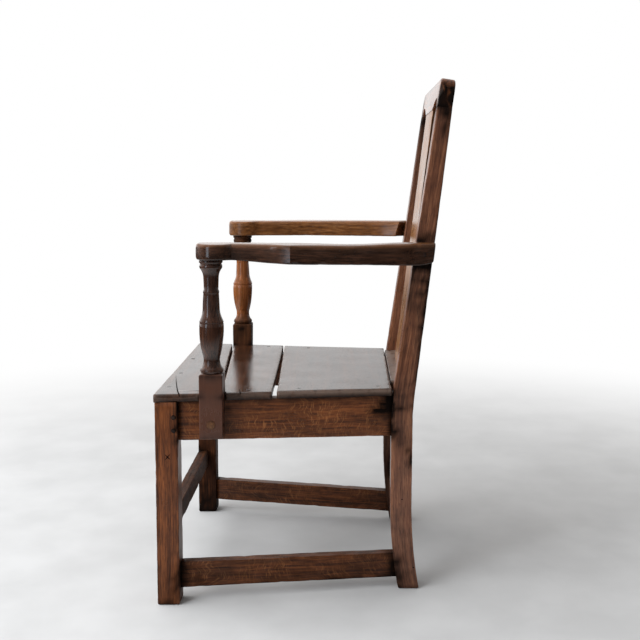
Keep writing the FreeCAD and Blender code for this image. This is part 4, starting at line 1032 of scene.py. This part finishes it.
class ARMCHAIR_OT_arms(bpy.types.Operator):
    """Two flat arms with a round grip, a sharp elbow and a tongue lapped on the back post"""
    bl_idname = "armchair.arms"
    bl_label = "Arms"

    def execute(self, context):
        s, c = millimetres(context), colours(context)
        for seed, (side, levels, wood) in enumerate(
                (("left", (0, 0, s.arm_drop, 0, 0, s.arm_sag), handled_arm_oak(c)),
                 ("right", (s.right_lift, s.right_extra, -s.right_tilt, s.right_rise, s.right_reach, 0),
                  cleaner_arm_oak(c))), start=16):
            left = chair_arm(s, *levels, seed)
            tip = 0.2 * np.clip((s.grip_at + 2 - left.rings[..., 1]) / 14, 0, 1)
            piece = left if side == "left" else mirror(left, tip * (1 - left.worn))
            build(context, f"armrest_{side}", [piece], f"arm_{side}", wood)
        return {"FINISHED"}


def chair_arm(s, lift, extra, drop, rise, reach, sag, seed):
    """Rounded rectangles in planes of one y, from the tip to the back: inner and outer edges from the
    plan (a circle for the grip, a crease, then arcs), top and bottom from the side view, drawn in at
    the tip by the nose. The inner crease is softened, (a + b - sqrt((a - b)^2 + 6^2)) / 2 of circle and
    arc, and flares by 0.0018 t^2 in the 50 mm before the rear facet. From there on the arm leans with
    the back of the post."""
    under, high, grip_at = s.arm_top - s.arm_thick + lift, s.arm_top + lift + extra, s.grip_at - reach
    low, rear_high = under - drop, high + rise
    front_edge, back_edge = post_edges(s)
    shoulder = np.interp(low, front_edge[:, 1], front_edge[:, 0])
    end_low, end_high = (np.interp(level, back_edge[:, 1], back_edge[:, 0]) for level in (low, rear_high))
    crease = grip_at + math.sqrt(s.grip_radius ** 2 - s.arm_neck ** 2 / 4)
    tip = grip_at - s.grip_radius
    facet = shoulder - s.arm_shoulder
    corner, lap = (s.back_half - s.arm_overlap, facet), s.back_half + 0.3
    elbow, tongue = (s.elbow_x, s.elbow_at), (s.back_half + s.tongue_thick, end_high + s.tongue_thick)
    inner = chain(
        arc((s.arm_x - s.arm_neck / 2, crease), corner, s.inner_bow, -1, 24),
        line(corner, (lap, shoulder)), line((lap, shoulder), (lap, end_high + 1)))
    outer = chain(
        arc((s.arm_x + s.arm_neck / 2, crease), elbow, s.elbow_hollow, 1, 16),
        arc(elbow, tongue, s.rear_hollow, 1, 24))
    turn = np.linspace(0, math.acos((grip_at - crease) / s.grip_radius), 44)
    y = np.concatenate([
        grip_at - s.grip_radius * np.cos(turn[2:-1]), [crease - 0.4, crease, crease + 0.4],
        np.linspace(crease + 4, s.elbow_at - 3, 20), [s.elbow_at - 0.6, s.elbow_at, s.elbow_at + 0.6],
        np.linspace(s.elbow_at + 4, facet - 0.6, 30), [facet],
        np.linspace(facet + 1, shoulder, 6), np.linspace(shoulder + 2, end_low - 3, 8),
        end_low - 3 * (1 - np.sin(np.linspace(0, math.pi / 2, 6)[1:]))])
    grip = np.sqrt(np.clip(s.grip_radius ** 2 - (y - grip_at) ** 2, 0, None))
    circle, neck = s.arm_x - grip, np.interp(y, inner[:, 1], inner[:, 0])
    flare = 0.0018 * np.clip(y - facet + 50, 0, 50) ** 2
    neck = neck - flare * np.clip((shoulder - y) / s.arm_shoulder, 0, 1)
    soft_of = 6 * np.clip((y - grip_at) / 15, 0, 1)
    x_in = np.where(y < grip_at, circle, (circle + neck - np.hypot(circle - neck, soft_of)) / 2)
    x_out = np.where(y < crease, s.arm_x + grip, np.interp(y, outer[:, 1], outer[:, 0]))
    from_tip = np.clip(y - tip, 0, s.arm_nose)
    nose = s.arm_nose - np.sqrt(s.arm_nose ** 2 - (s.arm_nose - from_tip) ** 2)
    to_end = np.clip(end_low - y, 0, 3)
    tail = 3 - np.sqrt(9 - (3 - to_end) ** 2)
    bottom = under + (low - under) * np.clip((y - tip - 7) / (end_low - tip - 7), 0, 1)
    bottom = bottom + s.arm_rear_rise * np.clip((y - shoulder) / (end_low - shoulder), 0, 1) ** 2
    bottom = bottom + sag * 0.8 * np.exp(-((y - 150) / 40) ** 2)
    climb = rise * np.clip((y - tip - 7) / (end_low - tip - 7), 0, 1)
    dip = sag * np.exp(-((y - 365) / 75) ** 2)
    z_low, z_high = bottom + nose + tail, high + climb - dip - nose - tail
    x_out, x_in = x_out - tail, x_in + tail * 0.3
    centre = np.stack([(x_in + x_out) / 2, y, (z_low + z_high) / 2], 1)
    wide = np.stack([(x_out - x_in) / 2, 0 * y, 0 * y], 1)
    tall = np.stack([0 * y, 0 * y, (z_high - z_low) / 2], 1)
    before_elbow = np.exp(-((y - s.elbow_at + 14) / 22) ** 2)
    grip_share = np.clip((crease - y) / 12, 0, 1)
    upper = s.arm_arris * (1 - 0.55 * before_elbow) * (1 - 0.3 * grip_share)
    lower = 2.5 + 1.5 * grip_share
    soft = np.stack([upper, 0.8 * upper, lower, lower], 1)
    piece = timber(centre, wide, tall, soft, 0, seed, 0.25, 0.35)
    aside = np.abs(piece.rings[..., 0] - centre[:, None, 0]) / np.maximum(wide[:, :1], 1)
    top_share = np.clip((piece.rings[..., 2] - centre[:, None, 2]) / np.maximum(tall[:, 2:], 1), 0, 1)
    piece.rings[..., 2] -= s.arm_crown * aside ** 2 * top_share
    # Painted highlight: a pale line on the inner arris of the slanted facet. The top is drawn lighter too:
    # hand wear, and partly painted light from above.
    arris = np.exp(-((y - facet) / 1.2) ** 2)[:, None] * (piece.rings[..., 0] < centre[:, None, 0])
    piece.worn = np.maximum(np.clip(top_share * 1.6 - 0.75, 0, 1), arris)
    back = np.clip((y - facet + 40) / 40, 0, 1) * (1 + 1.4 * np.exp(-((y - facet) / 13) ** 2))
    slant = (end_high - end_low) / (rear_high - low)
    piece.rings[..., 1] += back[:, None] * (piece.rings[..., 2] - low) * slant
    return piece


class ARMCHAIR_OT_splat_shoe(bpy.types.Operator):
    """The shoe that holds the foot of the splat, between the posts"""
    bl_idname = "armchair.splat_shoe"
    bl_label = "Splat shoe"

    def execute(self, context):
        s, c = millimetres(context), colours(context)
        half = s.back_half - s.post_width
        shoe = cross_bar(half, s.post_front, s.shoe_depth, s.shoe_top, s.shoe_top - s.rail_top, 2.2, 18)
        # Painted reflection: the top of the shoe takes the pale grey worn colour of the seat, as a sheen of
        # the light.
        shoe.worn = np.clip((shoe.rings[..., 2] - s.shoe_top + 3) / 3, 0, 1)
        build(context, "shoe", [shoe], "splat_shoe", sat_on_seat_oak(c))
        return {"FINISHED"}


def leant(s, x, thick, up):
    """Points of the leaning back: across the chair, behind its front face, and up from the top of the
    posts along the lean."""
    front, back = post_edges(s)
    base_y, base_z = front[-1]
    return np.stack(np.broadcast_arrays(
        x, base_y + thick * math.cos(LEAN) + up * math.sin(LEAN),
        base_z - thick * math.sin(LEAN) + up * math.cos(LEAN)), -1)


class ARMCHAIR_OT_back_splat(bpy.types.Operator):
    """The plain board in the middle of the back"""
    bl_idname = "armchair.back_splat"
    bl_label = "Back splat"

    def execute(self, context):
        s, c = millimetres(context), colours(context)
        tall = (s.post_top - s.shoe_top) / math.cos(LEAN)
        up = np.linspace(-tall - 4, 4, 50)
        centre = leant(s, 0, 1.5 + s.splat_thick / 2 - s.splat_set_back * up / tall, up)
        rake = LEAN - math.atan2(s.splat_set_back, tall)
        through = (0, s.splat_thick / 2 * math.cos(rake), -s.splat_thick / 2 * math.sin(rake))
        cuts = (0.01, 0.06, 0.16, 0.28, 0.4, 0.5, 0.6, 0.72, 0.84, 0.94, 0.99)
        splat = timber(centre, (s.splat_width / 2, 0, 0), through, 1.8, 0, 19, 0.3, 0.5, cuts)
        # The side edges of the splat are dark: painted shade.
        splat.soil = np.maximum(splat.soil, 0.8 * (np.abs(splat.rings[..., 0]) > s.splat_width / 2 - 1))
        build(context, "splat", [splat], "back_splat", pale_splat_oak(c))
        return {"FINISHED"}


class ARMCHAIR_OT_crest_rail(bpy.types.Operator):
    """The crest rail: rounded upper corners and two arches below, between the splat and the posts"""
    bl_idname = "armchair.crest_rail"
    bl_label = "Crest rail"

    def execute(self, context):
        s, c = millimetres(context), colours(context)
        half, corner = s.back_half, s.crest_corner
        inside, splat, small = s.back_half - s.post_width, s.splat_width / 2, s.arch_end
        run = inside - small - splat
        radius = (run ** 2 + s.crest_arch ** 2) / (2 * s.crest_arch)
        arch = chain(
            arc((splat, 0), (inside - small, s.crest_arch), radius, 1, 20),
            arc((inside - small, s.crest_arch), (inside, s.crest_arch - small), small, 1, 8),
            line((inside, s.crest_arch - small), (inside + 0.2, 0)))
        turn = np.linspace(0, math.pi / 2, 14)
        x = np.concatenate([np.linspace(0, splat, 12)[:-1], arch[:, 0],
                            np.linspace(inside + 1, half - corner, 4),
                            half - corner + corner * np.sin(turn[1:-2]),
                            [half - 1.5, half - 0.6, half - 0.15, half]])
        low = np.interp(x, np.concatenate([[0], arch[:, 0], [half]]),
                        np.concatenate([[0], arch[:, 1], [0]]))
        over = np.clip(x - half + corner, 0, corner)
        high = s.crest_height - corner + np.sqrt(corner ** 2 - over ** 2)
        ease = np.clip(1 - (half - x) / 1.5, 0, 1)
        inset = 1.5 * (1 - np.sqrt(1 - ease ** 2))
        x, low, high, inset = (np.concatenate([sign * v[:0:-1], v])
                               for v, sign in ((x, -1), (low, 1), (high, 1), (inset, 1)))
        centre = leant(s, x, s.crest_thick / 2, (low + high) / 2)
        tall = (high - low)[:, None] / 2 * (0, math.sin(LEAN), math.cos(LEAN))
        through = s.crest_thick / 2 * np.array((0, math.cos(LEAN), -math.sin(LEAN)))
        on_post = np.clip((np.abs(x) - inside) / 2, 0, 1)
        below = 1.6 - 1.2 * on_post
        round_of = np.stack([0 * x + s.crest_arris, below, below, 0 * x + s.crest_arris], 1)
        crest = timber(centre, tall, through, round_of, inset, 20, 0.2, 0.3,
                       (0.03, 0.14, 0.26, 0.38, 0.5, 0.62, 0.74, 0.86, 0.97))
        up = (crest.rings - leant(s, 0, 0, 0)) @ np.array((0, math.sin(LEAN), math.cos(LEAN)))
        behind = (crest.rings - leant(s, 0, 0, 0)) @ np.array((0, math.cos(LEAN), -math.sin(LEAN)))
        nick = 6 * np.exp(-((up - 31) / 10) ** 4) * np.clip(1 - behind / 14, 0, 1) * np.clip(
            1 - (half - crest.rings[..., 0]) / 12, 0, 1)
        crest.rings += nick[..., None] * np.array((0, math.cos(LEAN), -math.sin(LEAN)))
        build(context, "crest", [crest], "crest_rail", waxed_back_oak(c))
        return {"FINISHED"}


def peg_end(centre, axis, dia, seed, deep=5, proud=0.6, dome=0.5):
    """The end of a peg: nearly round rings, radius * (1 + 4% of two slow waves round it), from inside
    the wood to a low dome outside."""
    rng = np.random.default_rng(seed)
    axis = np.array(axis, float) / np.linalg.norm(axis)
    other = np.cross(axis, (0.31, 0.52, 0.8))
    other /= np.linalg.norm(other)
    third = np.cross(axis, other)
    angle = np.linspace(0, 2 * math.pi, 20, endpoint=False)
    phase = rng.uniform(0, 2 * math.pi, 2)
    round_share = 1 + 0.03 * np.cos(3 * angle + phase[0]) + 0.025 * np.cos(5 * angle + phase[1])
    level = np.array([-deep, -0.3, proud * 0.45, proud * 0.85, proud + dome * 0.35, proud + dome * 0.5])
    share = np.array([1.0, 1.0, 1.0, 0.92, 0.6, 0.25])[:, None] * round_share * dia / 2
    local = np.stack(np.broadcast_arrays(level[:, None], share * np.cos(angle), share * np.sin(angle)), -1)
    rings = np.array(centre, float) + local @ np.stack([axis, other, third])
    rim = np.array([1.0, 1.0, 0.9, 0.4, 0.1, 0.0])[:, None] + 0 * angle
    return shell(rings, local + 97 * seed, 0.6 * (1 - rim), rim)


class ARMCHAIR_OT_pegs(bpy.types.Operator):
    """The ends of the pegs that hold the joints, standing a little proud"""
    bl_idname = "armchair.pegs"
    bl_label = "Pegs"

    def execute(self, context):
        s, c = millimetres(context), colours(context)
        levels = [s.rail_top - s.rail_front_depth / 2 - s.peg_drop + g * s.peg_spacing / 2 for g in (-1, 1)]
        leg_in = s.front_half - s.leg_width + s.peg_edge
        post_in = s.back_half - s.post_width
        front_edge, back_edge = post_edges(s)
        under = s.arm_top - s.arm_thick
        crest_at = leant(s, post_in + s.post_width / 2, s.crest_thick, s.crest_peg_up)
        backward = (0, math.cos(LEAN), -math.sin(LEAN))
        arm_pegs = []
        for sign, low, high in ((1, under - s.arm_drop, s.arm_top),
                                (-1, under + s.right_lift + s.right_tilt,
                                 s.arm_top + s.right_lift + s.right_extra + s.right_rise)):
            shoulder = np.interp(low, front_edge[:, 1], front_edge[:, 0])
            end = np.interp(low, back_edge[:, 1], back_edge[:, 0])
            arm_pegs.append(((sign * (s.back_half + s.arm_peg_out), (shoulder + end) / 2, (high + low) / 2),
                             (sign, 0, 0), s.peg_dia))
        both, post_back, block_out = (1, -1), s.post_front + s.post_depth, s.arm_x + s.block_width / 2
        groups = {
            "side_rail_pegs": [((g * s.front_half, s.leg_width - s.peg_edge, z), (g, 0, 0), s.peg_dia)
                               for g in both for z in levels],
            "front_rail_pegs": [((g * leg_in, 0, z), (0, -1, 0), s.peg_dia) for g in both for z in levels],
            "back_rail_pegs": [((g * (post_in + s.peg_edge), post_back, z), (0, 1, 0), s.peg_dia)
                               for g in both for z in (s.bend_height, s.bend_height + s.peg_spacing)],
            "arm_support_pegs": [((g * block_out, s.support_at, s.rail_top - s.plug_drop), (g, 0, 0),
                                  s.plug_dia) for g in both],
            "crest_pegs": [(crest_at * (g, 1, 1), backward, s.peg_dia) for g in both],
            "arm_pegs": arm_pegs,
        }
        seed = 30
        for node, places in groups.items():
            ends = []
            for centre, axis, dia in places:
                seed += 1
                ends.append(peg_end(centre, axis, dia, seed))
            build(context, f"ends_{node}", ends, node,
                  large_peg_oak(c) if node == "arm_support_pegs" else riven_peg_oak(c))
        return {"FINISHED"}


class ARMCHAIR_OT_seat_nails(bpy.types.Operator):
    """The forged heads of the nails that hold the seat boards"""
    bl_idname = "armchair.seat_nails"
    bl_label = "Seat nails"

    def execute(self, context):
        s, c = millimetres(context), colours(context)
        inside = s.front_half - s.leg_width
        front = s.rail_inset + s.rail_thick / 2
        places = [(inside - s.nail_edge, front), (inside / 3, front)]
        for y in ((s.front_gap + s.back_gap) / 2 + s.nail_edge / 2, s.back_gap + 2 * s.nail_edge,
                  s.post_front - s.nail_edge):
            places.append((side_line(s, s.rail_inset, y) - s.rail_thick / 2, y))
        heads = [peg_end((g * x, y, s.seat_height), (0, 0, 1), s.nail_dia, 60 + number * 2 + (g > 0),
                         6, -0.2, 0.3)
                 for number, (x, y) in enumerate(places) for g in (1, -1)]
        build(context, "nail_heads", heads, "seat_nails", forged_nail_iron(c))
        return {"FINISHED"}


# The camera stands where the chair shows its left side, a little above the arms
EYE = (2.047894, 355.497 * MM + FRONT_Y * MM, 0.809878)
YAW, PITCH, ROLL = 0.028952, -0.114484, 0.009281
LENS_PIXELS = 975.779
AXIS_PIXEL = (376.144, 287.151)
FRAME_PIXELS = 640
# Lamps: name, place and aim in metres, width and height in metres, watts, tint
LAMPS = (
    ("main_light", (0.95, -2.6, 2.35), (0, 0, 0.55), (4.2, 2.6), 190, (0.94, 0.97, 1)),
    ("side_light", (2.3, -2.2, 1.05), (0, 0, 0.5), (0.65, 1.9), 14, (0.72, 0.86, 1)),
    ("top_light", (0.5, -0.5, 3.2), (0, 0, 0.4), (2.6, 2.6), 6, (1, 1, 1)),
)
# Half the side of the floor, and where it starts and ends going over into white, in metres
FLOOR_HALF, FADE = 9, (0.8, 2.4)


class ARMCHAIR_OT_stage(bpy.types.Operator):
    """A plain pale floor, soft light mostly from the front of the chair, a pale surround and the camera"""
    bl_idname = "armchair.stage"
    bl_label = "Stage"

    def execute(self, context):
        s, c = millimetres(context), colours(context)
        scene = context.scene
        scene.view_settings.view_transform = "Standard"
        floor = bpy.data.meshes.new("floor")
        corners = [(a * FLOOR_HALF, b * FLOOR_HALF, 0) for a, b in ((-1, -1), (1, -1), (1, 1), (-1, 1))]
        floor.from_pydata(corners, [], [(0, 1, 2, 3)])
        ground = bpy.data.objects.new("floor", floor)
        scene.collection.objects.link(ground)
        floor.materials.append(pale_floor(c))

        world = bpy.data.worlds.new("surround")
        scene.world = world
        world.use_nodes = True
        tree = world.node_tree
        sky = tree.nodes["Background"]
        path = add(tree, "ShaderNodeLightPath")
        seen = add(tree, "ShaderNodeMath", (path.outputs["Is Camera Ray"],
                                            path.outputs["Is Transmission Ray"]), operation="MAXIMUM")
        way = add(tree, "ShaderNodeTexCoord").outputs["Generated"]
        side = add(tree, "ShaderNodeSeparateXYZ", (way,))
        # the surround is bright on the chair's right, most towards its front, and dimmer on its left, most
        # in reflections
        dim = add(tree, "ShaderNodeMath", (path.outputs["Is Glossy Ray"], -0.2, 0.34),
                  operation="MULTIPLY_ADD").outputs[0]
        across = add(tree, "ShaderNodeMapRange", (side.outputs["X"], -0.6, 0.4, 1.0, dim)).outputs[0]
        front = add(tree, "ShaderNodeMapRange", (side.outputs["Y"], -0.25, 0.2, 1.5, 0.79)).outputs[0]
        lit = add(tree, "ShaderNodeMath", (across, front), operation="MULTIPLY").outputs[0]
        strength = add(tree, "ShaderNodeMix", {MIX: seen.outputs[0], 2: lit, 3: 1.0}, data_type="FLOAT")
        tree.links.new(strength.outputs[0], sky.inputs["Strength"])
        sky.inputs["Color"].default_value = (1, 1, 1, 1)

        for name, spot, aim, size, watts, tint in LAMPS:
            lamp = bpy.data.lights.new(name, "AREA")
            lamp.shape, lamp.size, lamp.size_y, lamp.energy = "RECTANGLE", *size, watts
            lamp.color = tint
            light = bpy.data.objects.new(name, lamp)
            light.matrix_world = Matrix.Translation(spot) @ (
                Vector(aim) - Vector(spot)).to_track_quat("-Z", "Y").to_matrix().to_4x4()
            # a mirror image of the largest lamp would whiten the polished seat, seen from behind
            light.visible_glossy = name != "main_light"
            scene.collection.objects.link(light)

        ahead = np.array([-math.cos(YAW) * math.cos(PITCH), math.sin(YAW) * math.cos(PITCH),
                          math.sin(PITCH)])
        right = np.array([math.sin(YAW), math.cos(YAW), 0])
        up = np.cross(right, ahead)
        right, up = (math.cos(ROLL) * right + math.sin(ROLL) * up,
                     math.cos(ROLL) * up - math.sin(ROLL) * right)
        lens = bpy.data.cameras.new("camera")
        lens.sensor_width = 36
        lens.lens = LENS_PIXELS / FRAME_PIXELS * lens.sensor_width
        lens.shift_x = 0.5 - AXIS_PIXEL[0] / FRAME_PIXELS
        lens.shift_y = AXIS_PIXEL[1] / FRAME_PIXELS - 0.5
        camera = bpy.data.objects.new("camera", lens)
        camera.matrix_world = Matrix((
            (right[0], up[0], -ahead[0], EYE[0]), (right[1], up[1], -ahead[1], EYE[1]),
            (right[2], up[2], -ahead[2], EYE[2]), (0, 0, 0, 1)))
        scene.collection.objects.link(camera)
        scene.camera = camera
        return {"FINISHED"}


def pale_floor(c):
    """A plain pale floor: nearly even grey with faint clouds about 150 mm across and no gloss, going over
    into the white surround between 0.8 and 2.4 m from the chair."""
    material = bpy.data.materials.new("pale_floor")
    material.use_nodes = True
    tree = material.node_tree
    shader = tree.nodes["Principled BSDF"]
    place = add(tree, "ShaderNodeTexCoord").outputs["Object"]
    cloud = add(tree, "ShaderNodeTexNoise", {"Vector": place, "Scale": 6.5, "Detail": 5.0}).outputs["Fac"]
    darker = tuple(0.9 * value for value in c.floor[:3]) + (1,)
    tone = add(tree, "ShaderNodeValToRGB", {"Fac": cloud}, stops=((0.35, darker), (0.65, c.floor)))
    tree.links.new(tone.outputs["Color"], shader.inputs["Base Color"])
    shader.inputs["Roughness"].default_value = 0.85
    shader.inputs["Specular IOR Level"].default_value = 0.2
    away = add(tree, "ShaderNodeVectorMath", {0: place}, operation="LENGTH").outputs["Value"]
    fade = add(tree, "ShaderNodeMapRange", {"Value": away, "From Min": FADE[0], "From Max": FADE[1]},
               interpolation_type="SMOOTHSTEP")
    seen = add(tree, "ShaderNodeLightPath").outputs["Is Camera Ray"]
    white = add(tree, "ShaderNodeEmission", {"Color": (1, 1, 1, 1), "Strength": seen})
    both = add(tree, "ShaderNodeMixShader", {0: fade.outputs[0], 1: shader.outputs[0], 2: white.outputs[0]})
    tree.links.new(both.outputs[0], tree.nodes["Material Output"].inputs["Surface"])
    return material


OPERATORS = (
    ARMCHAIR_OT_stage, ARMCHAIR_OT_front_legs, ARMCHAIR_OT_back_posts, ARMCHAIR_OT_seat_rails,
    ARMCHAIR_OT_stretchers, ARMCHAIR_OT_seat_boards, ARMCHAIR_OT_arm_supports, ARMCHAIR_OT_arms,
    ARMCHAIR_OT_splat_shoe, ARMCHAIR_OT_back_splat, ARMCHAIR_OT_crest_rail, ARMCHAIR_OT_pegs,
    ARMCHAIR_OT_seat_nails,
)


class ARMCHAIR_PT_pieces(bpy.types.Panel):
    """The pieces of the armchair and its stage"""
    bl_idname = "ARMCHAIR_PT_pieces"
    bl_label = "Armchair"
    bl_space_type = "VIEW_3D"
    bl_region_type = "UI"
    bl_category = "Armchair"

    def draw(self, context):
        for operator in OPERATORS:
            self.layout.operator(operator.bl_idname)


CLASSES = (ChairSizes, ChairColours, *OPERATORS, ARMCHAIR_PT_pieces)


def register():
    """Makes the sizes, colours, operators and panel known to Blender."""
    for kind in CLASSES:
        bpy.utils.register_class(kind)
    bpy.types.Scene.chair_sizes = bpy.props.PointerProperty(type=ChairSizes)
    bpy.types.Scene.chair_colours = bpy.props.PointerProperty(type=ChairColours)


def unregister():
    """Takes them away again."""
    del bpy.types.Scene.chair_colours
    del bpy.types.Scene.chair_sizes
    for kind in reversed(CLASSES):
        bpy.utils.unregister_class(kind)


def main():
    """Makes the stage and every piece."""
    register()
    for operator in OPERATORS:
        group, name = operator.bl_idname.split(".")
        getattr(getattr(bpy.ops, group), name)()


if __name__ == "__main__":
    main()
